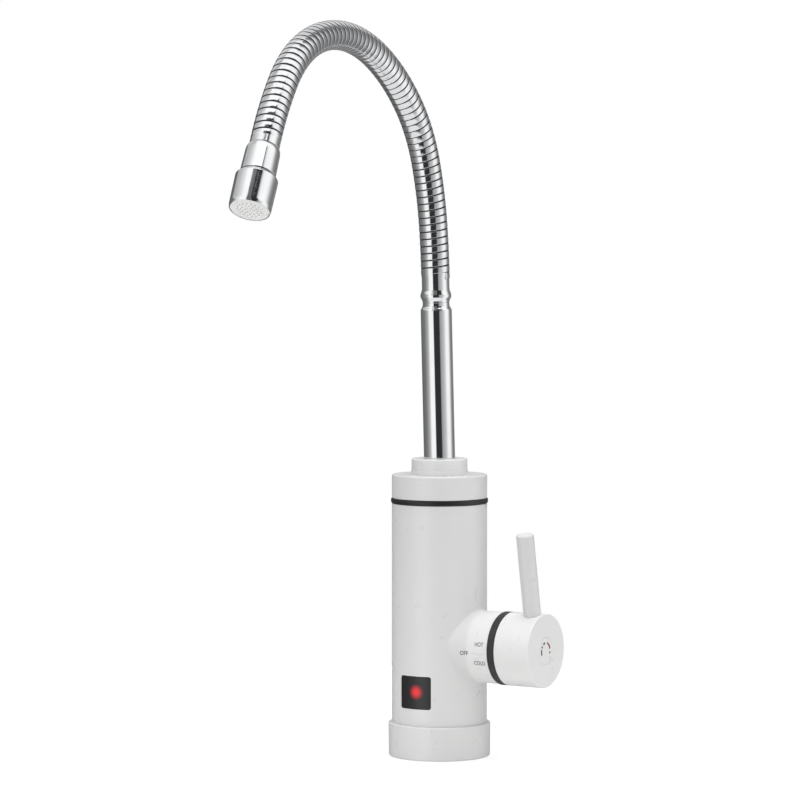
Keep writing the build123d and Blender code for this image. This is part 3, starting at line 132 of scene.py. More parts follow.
def rounded(corners):
    """A closed outline from rows of x, y and radius. Each corner with a radius becomes an arc of that radius,
    tangent to both sides, with one more point just outside each end of the arc so that the flats stay flat."""
    steps, guard = 6, 0.12
    corners = np.array(corners, float)
    spots = corners[:, :2]
    back = unit(np.roll(spots, 1, 0) - spots)
    on = unit(np.roll(spots, -1, 0) - spots)
    half = np.arccos(np.clip((back * on).sum(-1), -1, 1)) / 2
    outline = []
    for spot, radius, a, b, angle in zip(spots, corners[:, 2], back, on, half):
        if radius == 0:
            outline.append(spot[None])
            continue
        reach = radius / np.tan(angle)
        centre = spot + unit(a + b) * radius / np.sin(angle)
        start, end = (spot + a * reach - centre) / radius, (spot + b * reach - centre) / radius
        sweep = np.pi - 2 * angle
        t = np.linspace(0, 1, steps + 1)[:, None]
        arc = (start * np.sin((1 - t) * sweep) + end * np.sin(t * sweep)) / np.sin(sweep)
        before, after = spot[None] + a * (reach + guard), spot[None] + b * (reach + guard)
        outline += [before, centre + radius * arc, after]
    return np.concatenate(outline)


def turned(profile, place, around):
    """A profile of (radius, length) rows turned round a place's axis: each row is a circle of that radius,
    that far along the axis."""
    origin, across, side, ahead = place
    turn = np.linspace(0, TURN, around, endpoint=False)
    spokes = np.cos(turn)[:, None] * across + np.sin(turn)[:, None] * side
    rings = origin + profile[:, 0, None, None] * spokes + profile[:, 1, None, None] * ahead
    return loft(rings, joined=True)


def new_object(name, data):
    """A new object in the scene."""
    item = bpy.data.objects.new(name, data)
    bpy.context.scene.collection.objects.link(item)
    return item


def make_piece(name, solid, material, body, stands_for=(), crease=32.0):
    """A mesh object from points in millimetres. A solid whose signed volume is negative has its faces turned."""
    points, faces = solid
    volume = 0.0
    for group in faces:
        a = points[group[:, 0]]
        for k in range(1, group.shape[1] - 1):
            volume += (a * np.cross(points[group[:, k]], points[group[:, k + 1]])).sum()
    if volume < 0:
        faces = [group[:, ::-1] for group in faces]
    totals = np.concatenate([np.full(len(group), group.shape[1]) for group in faces])
    corners = np.concatenate([group.ravel() for group in faces])
    mesh = bpy.data.meshes.new(name)
    mesh.vertices.add(len(points))
    mesh.vertices.foreach_set("co", (points * MM).astype(np.float32).ravel())
    mesh.loops.add(len(corners))
    mesh.loops.foreach_set("vertex_index", corners.astype(np.int32))
    mesh.polygons.add(len(totals))
    mesh.polygons.foreach_set("loop_start", (np.cumsum(totals) - totals).astype(np.int32))
    mesh.update(calc_edges=True)
    mesh.validate()
    mesh.shade_smooth()
    mesh.set_sharp_from_angle(angle=radians(crease))
    mesh.materials.append(material)
    piece = new_object(name, mesh)
    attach(piece, body)
    if stands_for:
        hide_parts(*stands_for)


# Materials

def tone(code):
    """An sRGB hex colour as linear red, green, blue and alpha."""
    part = np.array([int(code[i:i + 2], 16) for i in (1, 3, 5)]) / 255
    return (*np.where(part <= 0.04045, part / 12.92, ((part + 0.055) / 1.055) ** 2.4), 1.0)


def add(tree, kind, inputs=(), **settings):
    """A node of this kind with its settings, and with each named or numbered input set or linked."""
    node = tree.nodes.new(kind)
    for name, value in settings.items():
        setattr(node, name, value)
    for name, value in dict(inputs).items():
        if isinstance(value, bpy.types.NodeSocket):
            tree.links.new(value, node.inputs[name])
        else:
            node.inputs[name].default_value = value
    return node


def maths(tree, operation, *values):
    """The result of this operation on the values."""
    return add(tree, "ShaderNodeMath", dict(enumerate(values)), operation=operation).outputs[0]


def bare_tree(owner):
    """The node tree of a material or a world, emptied."""
    owner.use_nodes = True
    owner.node_tree.nodes.clear()
    return owner.node_tree


def finish_of(name, **inputs):
    """A material of this name with its output and a Principled shader, whose inputs are given by name."""
    material = bpy.data.materials.new(name)
    tree = bare_tree(material)
    inputs = {key.replace("_", " "): value for key, value in inputs.items()}
    shader = add(tree, "ShaderNodeBsdfPrincipled", inputs)
    add(tree, "ShaderNodeOutputMaterial", {"Surface": shader.outputs[0]})
    place = add(tree, "ShaderNodeTexCoord").outputs["Object"]
    return material, tree, shader, place


def speckle(tree, place, size, detail=3.0):
    """Noise with cells of this size in millimetres."""
    inputs = {"Vector": place, "Scale": 1 / (size * MM), "Detail": detail}
    return add(tree, "ShaderNodeTexNoise", inputs).outputs["Fac"]


def between(tree, value, start, end, low, high, kind="LINEAR"):
    """A value's way from start to end, carried over to the way from low to high."""
    inputs = {"Value": value, "From Min": start, "From Max": end, "To Min": low, "To Max": high}
    return add(tree, "ShaderNodeMapRange", inputs, interpolation_type=kind).outputs["Result"]


def spread(tree, value, low, high, socket):
    """Feeds the socket from low to high where noise goes from 0.3 to 0.7."""
    tree.links.new(between(tree, value, 0.3, 0.7, low, high), socket)


def two_tones(tree, value, first, second, socket):
    """Feeds the socket a colour between two hex colours, by a value from 0.35 to 0.65."""
    ramp = add(tree, "ShaderNodeValToRGB", {"Fac": value})
    ramp.color_ramp.elements[0].position, ramp.color_ramp.elements[1].position = 0.35, 0.65
    ramp.color_ramp.elements[0].color, ramp.color_ramp.elements[1].color = tone(first), tone(second)
    tree.links.new(ramp.outputs["Color"], socket)


def relief(tree, height, depth, shader):
    """Bumps the shader's surface by a height pattern that is this many millimetres deep."""
    bump = add(tree, "ShaderNodeBump", {"Height": height, "Distance": depth * MM})
    tree.links.new(bump.outputs["Normal"], shader.inputs["Normal"])


def textured(finish, tones, sheen, grain=None, stretch=None):
    """A finish with up to three patterns of noise, each with its cells' size in millimetres first: two colours, a
    low and a high roughness, and a relief's depth in millimetres. A stretch makes the cells longer along an axis."""
    material, tree, shader, place = finish
    if stretch:
        place = add(tree, "ShaderNodeMapping", {"Vector": place, "Scale": stretch}).outputs[0]
    two_tones(tree, speckle(tree, place, tones[0]), tones[1], tones[2], shader.inputs["Base Color"])
    spread(tree, speckle(tree, place, sheen[0]), sheen[1], sheen[2], shader.inputs["Roughness"])
    if grain:
        relief(tree, speckle(tree, place, grain[0], *grain[2:]), grain[1], shader)
    return material


# Satin lacquer sprayed on metal: pale warm grey with a soft broad shine and a faint orange peel. The knob and the
# boss beside it are painted a shade paler than the rest: painted light, for the light that falls more on them.
def lacquer(name, dull, pale):
    """Satin lacquer between two tones, painted paler the further a point is out along X past the body: painted light
    on the boss and the knob.
    """
    material, tree, shader, place = finish_of(name, Roughness=0.3, IOR=1.5)
    reach = add(tree, "ShaderNodeSeparateXYZ", {"Vector": place}).outputs["X"]
    # Painted light: the tone grows paler from 29 mm to 36 mm out along X
    painted_light_outward = between(tree, reach, 29 * MM, 36 * MM, -0.1, 0.6)
    patchy_and_painted_light = maths(tree, "MULTIPLY_ADD", speckle(tree, place, 28), 0.5, painted_light_outward)
    two_tones(tree, patchy_and_painted_light, dull, pale, shader.inputs["Base Color"])
    spread(tree, speckle(tree, place, 9), 0.27, 0.33, shader.inputs["Roughness"])
    relief(tree, speckle(tree, place, 1.1, 2.0), 0.002, shader)
    return material


satin_lacquer = lacquer("satin_lacquer", "#D5D5D5", "#DFDFDF")
# The lever's lacquer is the body's, painted a shade darker: painted shade
lever_lacquer_painted_shade = lacquer("lever_satin_lacquer_painted_shade", "#CECECE", "#D0D0D0")
# The collar's lacquer is the body's, painted a shade paler: painted light
collar_lacquer_painted_light = lacquer("collar_satin_lacquer_painted_light", "#DEDEDE", "#E0E0E0")

# Bright chromium plate over polished brass: mirror-like, with a little waviness left by polishing
chrome_plate = textured(finish_of("chrome_plate", Metallic=1.0, Roughness=0.06), (14, "#D3D4D6", "#D8D9DA"),
                        (3, 0.045, 0.085), (6, 0.004, 1.0))

# Chromium plate on rolled steel strip: bright, and a little softer than the turned pieces
chrome_strip = textured(finish_of("chrome_strip", Metallic=1.0, Roughness=0.08), (5, "#CFD0D2", "#D6D7D9"),
                        (1.5, 0.06, 0.11), (2.2, 0.004, 2.0))

# Rubber seal wound under the strip: black and dull, showing only as lines in the grooves, where its black stands in as
# painted shade
seal_and_groove_shade = textured(finish_of("seal_rubber_and_groove_shade", Roughness=0.7, IOR=1.5), (3, "#0E0E0F", "#141415"),
                         (1.5, 0.62, 0.78), (0.8, 0.006))

# Nitrile rubber moulded in a ring: near black, with a dull sheen and a fine moulded skin
black_rubber = textured(finish_of("moulded_rubber", Roughness=0.5, IOR=1.52), (1.5, "#090909", "#0E0E0E"),
                        (2, 0.42, 0.58), (0.35, 0.01))

# Glass-filled nylon moulded and bead-blasted: charcoal with a dull, finely pitted skin
black_nylon = textured(finish_of("blasted_nylon", Roughness=0.55, IOR=1.53), (1.2, "#1C1C1D", "#252526"),
                       (1.6, 0.48, 0.62), (0.3, 0.012))

# Smoked acrylic polished flush: deep grey-black gloss, with the red lamp's glow painted on it as light of its own
acrylic_finish = finish_of("smoked_acrylic_painted_glow", Roughness=0.3, IOR=1.49, Emission_Color=tone("#FF2A30"))
smoked_acrylic_painted_glow = textured(acrylic_finish, (6, "#161617", "#19191A"), (4, 0.27, 0.33))
_, tree, shader, place = acrylic_finish
# Painted glow: the window itself gives red light, brightest in front of the lamp and gone 6 mm from it
axes = add(tree, "ShaderNodeSeparateXYZ", {"Vector": place})
flat_place = add(tree, "ShaderNodeCombineXYZ", {"X": axes.outputs["X"], "Z": axes.outputs["Z"]})
lamp_place = (lamp_x * MM, 0, lamp_height * MM)
away = add(tree, "ShaderNodeVectorMath", {0: flat_place.outputs[0], 1: lamp_place}, operation="DISTANCE")
painted_glow = between(tree, away.outputs["Value"], 0.0, painted_glow_spread * MM, 0.82, 0.0, "SMOOTHERSTEP")
tree.links.new(painted_glow, shader.inputs["Emission Strength"])

# Acetal moulded plain: opaque white, dull, with a fine moulded grain
white_acetal = textured(finish_of("moulded_acetal", Roughness=0.42, IOR=1.48), (8, "#EEEEED", "#F2F2F1"),
                        (2, 0.38, 0.5), (0.5, 0.008))

# Black ABS moulded plain: dull, with a fine spark-eroded grain
black_abs = textured(finish_of("moulded_abs", Roughness=0.5, IOR=1.53), (1.5, "#202021", "#28282A"),
                     (1.5, 0.45, 0.58), (0.4, 0.012))

# Stainless steel cut and drawn: grey metal with fine streaks along Z
drawn_steel = textured(finish_of("drawn_steel", Metallic=1.0, Roughness=0.3), (0.6, "#B5B6B7", "#C6C7C8"),
                       (0.5, 0.24, 0.38), (0.4, 0.006), stretch=(1.0, 1.0, 0.05))

# Brass turned on a lathe: warm yellow, with fine tool rings along Z
turned_brass = textured(finish_of("turned_brass", Metallic=1.0, Roughness=0.26), (0.4, "#D2B06A", "#E0C07C"),
                        (0.3, 0.2, 0.34), (0.25, 0.006), stretch=(0.04, 0.04, 1.0))

# Copper pipe, drawn and bent: warm pink metal, a little dulled in patches
drawn_copper = textured(finish_of("drawn_copper", Metallic=1.0, Roughness=0.3), (5, "#C8825C", "#DA9A74"),
                        (3, 0.24, 0.4), (0.8, 0.005))

# Alumina lapped flat: ivory, hard and softly bright
lapped_ceramic = textured(finish_of("lapped_alumina", Roughness=0.22, IOR=1.76), (2, "#EEE9DC", "#F3EFE5"),
                          (1, 0.18, 0.3), (0.3, 0.003))

# Glass and resin board under solder lacquer: green, with the weave showing as a faint 0.5 mm grid
lacquered_board, tree, shader, place = finish_of("solder_lacquer", Roughness=0.35, IOR=1.55)
weave = add(tree, "ShaderNodeTexChecker", {"Vector": place, "Scale": 1 / (0.5 * MM)}).outputs["Fac"]
two_tones(tree, weave, "#14502B", "#186034", shader.inputs["Base Color"])
spread(tree, speckle(tree, place, 1), 0.3, 0.42, shader.inputs["Roughness"])
relief(tree, weave, 0.01, shader)

# Red epoxy lens of a lamp: clear red with a light of its own
epoxy_finish = finish_of("red_epoxy", Roughness=0.2, IOR=1.54, Emission_Color=tone("#FF2A22"), Emission_Strength=0.8)
red_epoxy = textured(epoxy_finish, (1, "#C81E1E", "#E02A28"), (0.8, 0.15, 0.28))


def print_ink(name, colour, thin):
    """Pad-printed ink: even colour that thins a little in patches of about 0.4 mm, and dull."""
    material, tree, shader, place = finish_of(name, Roughness=0.55, IOR=1.5)
    two_tones(tree, speckle(tree, place, 0.4), colour, thin, shader.inputs["Base Color"])
    return material


grey_ink = print_ink("grey_pad_print", "#4C4C4E", "#5E5E60")
faint_ink = print_ink("pale_pad_print", "#C4C4C3", "#CCCCCB")
blue_ink = print_ink("blue_pad_print", "#1C2A46", "#34486E")
red_ink = print_ink("red_pad_print", "#6E1A28", "#983E4C")

# The frame's own nodes take the finish of the material slot that the record gives them
slot_finish = {"satin_metal": satin_lacquer, "chrome": chrome_plate, "black_rubber": black_rubber,
               "black_gloss": black_nylon, "steel": drawn_steel, "brass": turned_brass, "copper": drawn_copper,
               "ceramic": lapped_ceramic, "engineering_plastic": white_acetal, "black_plastic": black_abs,
               "circuit_board": lacquered_board, "led": red_epoxy}
for part in frame["record"]["subparts"]:
    node = frame["nodes"][part["node"]]
    node.data.materials.clear()
    node.data.materials.append(slot_finish[part["material_slot"]])

upright = place_at((0, 0, 0), (0, 0, 1), (1, 0, 0))
sideways = place_at((0, 0, knob_height), (1, 0, 0), (0, -1, 0))

# Base ring: a straight band, wider at its top, with rounded edges and the flange that the shell stands on
foot_ring = rounded([
    (ring_mouth, 0, 0.2), (ring_foot_radius, 0, ring_edge), (ring_radius, ring_height, ring_edge),
    (ring_bore, ring_height, 0.15), (ring_bore, ring_flange[1], 0), (ring_flange_bore, ring_flange[1], 0),
    (ring_flange_bore, ring_flange[0], 0), (ring_mouth, ring_flange[0], 0),
])
make_piece("foot_ring", turned(foot_ring, upright, 256), satin_lacquer, "body", ["base_ring"])

# Body shell: two skins on one grid of headings and heights. Each opening takes a rectangle of the grid's cells
# out of both skins, and rings lead from the rectangle's edge on the outer skin to its edge on the inner one.
boss_cells, window_cells = ((38, 142), (43.0, 98.0)), ((-26, 26), (29.0, 55.6))
recess_reach, recess_heights = 6.5, (31.0, 42.0)
fine_foot, fine_top = 30.0, 97.0
headings = np.arange(-180, 180, 2.0)
heights = np.concatenate([np.linspace(body_foot, fine_foot, 12)[:-1], np.linspace(fine_foot, fine_top, 40),
                          np.linspace(fine_top, body_top, 26)[1:]])


def skin(radius):
    """Points at every height and heading on a cylinder of this radius."""
    turn, height = np.broadcast_arrays(headings[None, :], heights[:, None])
    return towards(turn) * radius + height[..., None] * UP


def rectangle(low_heading, high_heading, low, high):
    """The rows and columns of the grid points round a rectangle, counterclockwise from its lower left."""
    i0, i1 = np.searchsorted(headings, [low_heading, high_heading])
    j0, j1 = np.searchsorted(heights, [low - 1e-6, high - 1e-6])
    across, up = np.arange(i0, i1), np.arange(j0, j1)
    columns = np.concatenate([across, np.full(len(up), i1), across[::-1] + 1, np.full(len(up), i0)])
    rows = np.concatenate([np.full(len(across), j0), up, np.full(len(across), j1), up[::-1] + 1])
    return (i0, i1, j0, j1), rows, columns


def on_cylinder(across, height, radius):
    """Points on a cylinder of this radius at a sideways distance from its front line and a height."""
    return np.stack([across, -np.sqrt(radius ** 2 - across ** 2), height], -1)


def fill_between(border, ring, radius, steps):
    """Rings from a border to a ring, both on a cylinder of this radius: straight lines, pushed out to it."""
    t = np.linspace(0, 1, steps + 1)[1:-1, None, None]
    mixed = border * (1 - t) + ring * t
    out = np.linalg.norm(mixed[..., :2], axis=-1, keepdims=True)
    return np.concatenate([mixed[..., :2] * radius / out, mixed[..., 2:]], -1)


def boss_rings(outer_border, inner_border):
    """The boss: a fillet rolled between the body and the boss, the boss's side, its rounded end and its bore. The
    ball that rolls touches both cylinders where its centre is its own radius further out than each of them."""
    spot = outer_border - knob_height * UP
    turn = np.arctan2(spot[:, 1], spot[:, 2])
    swing = np.stack([np.sin(turn), np.cos(turn)], -1)
    ball_yz = swing * (boss_radius + boss_blend)
    ball_x = np.sqrt((body_radius + boss_blend) ** 2 - ball_yz[:, 0] ** 2)
    ball = np.column_stack([ball_x, ball_yz + [0, knob_height]])
    flat = np.column_stack([ball_x, ball_yz[:, 0], np.zeros(len(turn))])
    to_body = -unit(flat)
    to_boss = np.column_stack([np.zeros(len(turn)), -swing])
    t = np.linspace(0, 1, 9)[:, None, None]
    blend = ball + boss_blend * unit(to_body * (1 - t) + to_boss * t)
    rows = [fill_between(outer_border, blend[0], body_radius, 5), blend]
    start_x = ball_x[None, :]
    level = start_x + (boss_end - boss_edge - wall_edge - start_x) * np.linspace(0.05, 1, 9)[:, None]
    rows.append(np.stack([level, np.broadcast_to(swing[:, 0] * boss_radius, level.shape),
                          np.broadcast_to(swing[:, 1] * boss_radius + knob_height, level.shape)], -1))
    corner = [(boss_end - boss_edge + boss_edge * np.sin(a), boss_radius - boss_edge + boss_edge * np.cos(a))
              for a in np.linspace(0, np.pi / 2, 5)]
    corner += [(boss_end, boss_flange_hole), (boss_flange, boss_flange_hole), (boss_flange, boss_inner)]
    rows += [np.column_stack([np.full(len(turn), x), swing * r + [0, knob_height]])[None] for x, r in corner]
    inner_y = swing[:, 0] * boss_inner
    inner_x = np.sqrt(body_inner ** 2 - inner_y ** 2)
    inner = np.column_stack([inner_x, inner_y, swing[:, 1] * boss_inner + knob_height])
    rows += [inner[None], fill_between(inner, inner_border, body_inner, 4)]
    return np.concatenate(rows)


def window_outline(side_steps, up_steps, corner_steps, half, corner):
    """A rounded rectangle's outline, counterclockwise from the middle of its lower left corner's arc. Each side
    takes as many steps as the border round it: half an arc, the straight, and half the next arc."""
    rows = []
    arc = np.pi / 4 - np.linspace(0, np.pi / 4, corner_steps + 1)
    for turn, steps, (w, h) in zip(range(4), (side_steps, up_steps) * 2, (tuple(half), tuple(half)[::-1]) * 2):
        first = np.stack([-w + corner - corner * np.sin(arc), -h + corner - corner * np.cos(arc)], -1)
        straight = np.stack([np.linspace(-w + corner, w - corner, steps - 2 * corner_steps + 1)[1:-1],
                             np.full(steps - 2 * corner_steps - 1, -h)], -1)
        last = first[::-1] * [-1, 1]
        side = np.concatenate([first, straight, last])[:-1]
        c, s = np.cos(turn * np.pi / 2), np.sin(turn * np.pi / 2)
        rows.append(side @ np.array([[c, s], [-s, c]]))
    return np.concatenate(rows)


def window_rings(outer_border, inner_border, steps):
    """The window's opening: straight through the wall, with its front edge eased."""
    half = np.array(window_half)
    across, up = (window_outline(*steps, 3, half, window_corner) + window_centre).T
    wide = window_outline(*steps, 3, half + wall_edge, window_corner + wall_edge) + window_centre
    face = on_cylinder(wide[:, 0], wide[:, 1], body_radius)
    lip = on_cylinder(across, up, body_radius - wall_edge)
    back = on_cylinder(across, up, body_inner)
    return np.concatenate([fill_between(outer_border, face, body_radius, 5), face[None], lip[None], back[None],
                           fill_between(back, inner_border, body_inner, 4)])


def recess_rings(outer_border, inner_border, heading):
    """A screw's round recess: circles square to the body's radius at this heading."""
    out = towards(heading)
    side = np.array([-out[1], out[0], 0])
    spot = outer_border - screw_height * UP
    turn = np.arctan2(spot[:, 2], spot @ side)
    circle = np.cos(turn)[:, None] * side + np.sin(turn)[:, None] * UP

    def flat_ring(radius, depth):
        """A circle of this radius on a flat that is this far from the body's axis."""
        return circle * radius + depth * out + screw_height * UP

    def round_ring(radius, depth):
        """A circle of this radius carried out to a cylinder whose radius is the depth."""
        reach = np.sqrt(depth ** 2 - (circle * radius @ side) ** 2)
        return flat_ring(radius, 0) + reach[:, None] * out

    mouth = round_ring(recess_radius + wall_edge, body_radius)
    lip = round_ring(recess_radius, body_radius - wall_edge)
    floor = body_radius - recess_depth
    back = round_ring(screw_bore, body_inner)
    return np.concatenate([fill_between(outer_border, mouth, body_radius, 4), mouth[None], lip[None],
                           flat_ring(recess_radius, floor)[None], flat_ring(screw_bore, floor)[None], back[None],
                           fill_between(back, inner_border, body_inner, 3)])


def body_solid():
    """The skins less the openings' rectangles, the openings' rings, and the rims that close the skins' ends."""
    outer, inner = skin(body_radius), skin(body_inner)
    rows, columns = outer.shape[:2]
    index = np.arange(rows * columns).reshape(rows, columns)
    kept = np.ones((rows - 1, columns), bool)
    points, faces, base = [outer.reshape(-1, 3), inner.reshape(-1, 3)], [], 2 * rows * columns
    openings = [(*boss_cells, boss_rings), (*window_cells, window_rings)]
    openings += [((heading - recess_reach, heading + recess_reach), recess_heights, recess_rings)
                 for heading in screw_headings]
    for (low_heading, high_heading), (low, high), rings_of in openings:
        (i0, i1, j0, j1), row, column = rectangle(low_heading, high_heading, low, high)
        kept[j0:j1, i0:i1] = False
        borders = outer[row, column], inner[row, column]
        if rings_of is window_rings:
            rings = rings_of(*borders, (i1 - i0, j1 - j0))
        elif rings_of is recess_rings:
            rings = rings_of(*borders, (low_heading + high_heading) / 2)
        else:
            rings = rings_of(*borders)
        ring_index = base + np.arange(rings.shape[0] * rings.shape[1]).reshape(rings.shape[:2])
        border = index[row, column][None]
        ladder = np.concatenate([border, ring_index, border + rows * columns])
        beside = np.roll(ladder, -1, 1)
        faces.append(np.stack([ladder[:-1], beside[:-1], beside[1:], ladder[1:]], -1).reshape(-1, 4))
        points.append(rings.reshape(-1, 3))
        base += rings.shape[0] * rings.shape[1]
    beside = np.roll(index, -1, 1)
    cells = np.stack([index[:-1], beside[:-1], beside[1:], index[1:]], -1)[kept]
    faces += [cells, cells[:, ::-1] + rows * columns]
    for edge, turn in ((0, -1), (-1, 1)):
        rim = np.stack([index[edge], beside[edge], beside[edge] + rows * columns, index[edge] + rows * columns], -1)
        faces.append(rim[:, ::turn])
    return np.concatenate(points), faces


make_piece("shell", body_solid(), satin_lacquer, "body", ["body_shell"], 28.0)


# Display window: its outline shrunk towards the middle in rings, on a cylinder, with a small bevel all round
def window_solid():
    """Front and back surfaces of rings from the outline to the middle, joined at the outline by a bevel."""
    steps = (26, 26)
    half = np.array(window_half) - window_gap
    corner = window_corner - window_gap
    bevelled = window_outline(*steps, 5, half - window_bevel, corner - window_bevel)
    outline = window_outline(*steps, 5, half, corner)
    shrink = np.array([1.0, 0.985, 0.9, 0.75, 0.6, 0.45, 0.3, 0.15, 0.04])[:, None, None]
    layers = [((outline * shrink)[::-1], window_depth), (outline[None], window_bevel + hair_gap),
              (bevelled * shrink, hair_gap)]
    return loft(np.concatenate([
        on_cylinder(layer[..., 0], layer[..., 1] + window_centre[1], body_radius - depth) for layer, depth in layers]))


make_piece("window", window_solid(), smoked_acrylic_painted_glow, "body", ["display_window"])

# Rubber ring under the cap, bulging a little past the shell
oring = rounded([(oring_bore, oring_foot, 0), (oring_radius, oring_foot, oring_rounding),
                 (oring_radius, oring_top, oring_rounding), (oring_bore, oring_top, 0)])
make_piece("sealing_ring", turned(oring, upright, 256), black_rubber, "body", ["cap_oring"])

# Cap: a lid with an eased rim and a skirt inside the shell
lid = rounded([
    (cap_skirt_bore, cap_skirt_foot, 0), (cap_skirt_radius, cap_skirt_foot, 0),
    (cap_skirt_radius, oring_top + hair_gap, 0), (body_radius, oring_top + hair_gap, 0.2),
    (body_radius, cap_top, cap_edge), (cap_bore, cap_top, 0),
    (cap_bore, cap_top - cap_lid, 0), (cap_skirt_bore, cap_top - cap_lid, 0),
])
make_piece("lid", turned(lid, upright, 256), satin_lacquer, "body", ["cap"])

# Collar: a nut with a low step at its foot and a hole that the tube turns in
collar = rounded([
    (collar_bore, cap_top + hair_gap, 0), (collar_rim_radius, cap_top + hair_gap, 0.15),
    (collar_rim_radius, cap_top + collar_rim, 0.2), (collar_radius, cap_top + collar_rim, 0.1),
    (collar_radius, collar_top, collar_edge), (collar_hole, collar_top, 0.3),
    (collar_hole, collar_top - collar_lip, 0), (collar_bore, collar_top - collar_lip, 0),
])
make_piece("collar", turned(collar, upright, 256), collar_lacquer_painted_light, "body", ["collar_nut"])

# Black ring between the boss and the knob
bearing = rounded([
    (bearing_bore, bearing_start, 0), (bearing_radius, bearing_start, 0.2), (bearing_radius, bearing_end, 0.2),
    (bearing_neck, bearing_end, 0), (bearing_neck, bearing_neck_end, 0), (bearing_bore, bearing_neck_end, 0),
])
make_piece("boss_ring", turned(bearing, sideways, 224), black_nylon, "body", ["bearing_ring"])

# Knob: a cup with a round recess in its end for the cover
knob_cup = rounded([
    (knob_radius - knob_wall, knob_start, 0), (knob_radius, knob_start, 0.25), (knob_radius, knob_end, knob_edge),
    (index_radius + index_seam, knob_end, 0.15), (index_radius + index_seam, index_floor, 0),
    (knob_bore, index_floor, 0), (knob_bore, knob_end - knob_face, 0),
    (knob_radius - knob_wall, knob_end - knob_face, 0),
])
make_piece("knob_cup", turned(knob_cup, sideways, 224), satin_lacquer, "handle", ["knob"])

# Cover in the knob's end: a thin disc with an eased rim
cover = rounded([(near_axis, index_floor + hair_gap, 0), (index_radius, index_floor + hair_gap, 0),
                 (index_radius, knob_end - hair_gap, index_edge), (near_axis, knob_end - hair_gap, 0)])
make_piece("knob_cover", turned(cover, sideways, 128), satin_lacquer, "handle", ["index_cap"])

# Lever: a round stick with a rounded tip, leaning from the knob
lean = radians(lever_lean)
lever_place = place_at((lever_x, 0, knob_height), (0, -np.sin(lean), np.cos(lean)), (1, 0, 0))
stick = rounded([(near_axis, lever_root + hair_gap, 0), (lever_radius, lever_root + hair_gap, 0),
                 (lever_radius, lever_reach, lever_edge), (near_axis, lever_reach, 0)])
make_piece("lever_stick", turned(stick, lever_place, 96), lever_lacquer_painted_shade, "handle", ["lever"])


# Printed marks

def wrap_on_boss(points, x, angle):
    """Flat points carried on to the boss: their first number runs along X, their second round the boss, and the
    third stands out from it. The angle is degrees above the boss's front line."""
    reach = boss_radius + mark_lift + points[:, 2]
    turn = np.radians(angle) + points[:, 1] / boss_radius
    return np.column_stack([x + points[:, 0], -reach * np.cos(turn), knob_height + reach * np.sin(turn)])


def printed_word(name, word, x, angle, width):
    """A word as thin solid letters wrapped on the boss, with its middle at x and the angle."""
    curve = bpy.data.curves.new(name, "FONT")
    curve.body, curve.size, curve.extrude, curve.resolution_u, curve.offset = word, 1.0, 0.02, 6, letter_weight
    lettering = new_object(name, curve)
    bpy.context.view_layer.update()
    flat = bpy.data.meshes.new_from_object(lettering)
    bpy.data.objects.remove(lettering)
    count = len(flat.vertices)
    points = np.empty(count * 3)
    flat.vertices.foreach_get("co", points)
    points = points.reshape(-1, 3)
    low, high = points.min(0), points.max(0)
    points = (points - (low + high) / 2) / (high - low) * [width, letter_height, mark_depth]
    flat.vertices.foreach_set("co", (wrap_on_boss(points, x, angle) * MM).ravel())
    flat.update()
    flat.materials.clear()
    flat.materials.append(grey_ink)
    piece = new_object(name, flat)
    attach(piece, "body")


printed_word("mark_hot", "HOT", 42.3, 10.5, 6.1)
printed_word("mark_off", "OFF", 31.6, -4.8, 5.9)
printed_word("mark_cold", "COLD", 42.1, -20.0, 7.9)


def printed_line():
    """A thin straight line along the boss, from OFF to the boss's end."""
    ring = np.array([(-1, -1), (1, -1), (1, 1), (-1, 1)]) * [line_half, mark_depth / 2]
    rings = [wrap_on_boss(np.column_stack([np.full(4, x), ring]), line_start, line_angle)
             for x in np.linspace(0, line_length, 3)]
    return loft(np.array(rings))


make_piece("mark_line", printed_line(), faint_ink, "body")


def printed_arc(start, end):
    """A flat arc on the knob's cover, from one angle to another: degrees from -Y towards +Z."""
    turn = np.radians(np.linspace(start, end, 25))[:, None]
    section = np.array([(-0.5, 0), (0.5, 0), (0.5, 1), (-0.5, 1)]) * [arc_width, mark_depth]
    reach = arc_radius + section[:, 0]
    rings = np.stack([np.broadcast_to(knob_end - hair_gap + section[:, 1], (25, 4)), -reach * np.cos(turn),
                      knob_height + reach * np.sin(turn)], -1)
    return loft(rings)


arcs = [("cold", blue_ink, [(56, 78), (24, 38), (-26, 14)]), ("hot", red_ink, [(108, 122), (126, 168), (186, 202)])]
for side, ink, spans in arcs:
    for number, span in enumerate(spans):
        make_piece(f"{side}_mark_{number + 1}", printed_arc(*span), ink, "handle")


# Spout tube, on an axis that leans a little to the front

def gooseneck_directions():
    """The gooseneck's direction at each link's end: a lean from the vertical towards a heading."""
    done = np.concatenate([[0], np.cumsum(hose_bands)])
    heading = first_heading + (last_heading - first_heading) * done / done[-1]
    tilt = np.radians(hose_lean)[:, None]
    return towards(heading) * np.sin(tilt) + UP * np.cos(tilt)


directions = gooseneck_directions()
tube_ahead = directions[0]
tube_place = place_at((0, 0, collar_top), tube_ahead, (1, 0, 0))


def along_tube(height):
    """How far along the leaning tube a height is, from the collar's top."""
    return (height - collar_top) / tube_ahead[2]


def eased(first, last):
    """Rows of radius and height from one to the other: the height even, the radius along half a cosine wave."""
    t = np.linspace(0, 1, 12)
    share = (1 - np.cos(np.pi * t)) / 2
    return np.column_stack([first[0] + (last[0] - first[0]) * share, first[1] + (last[1] - first[1]) * t])


def at_heights(profile):
    """A profile of radius and height as radius and length along the tube."""
    return np.column_stack([profile[:, 0], along_tube(profile[:, 1])])


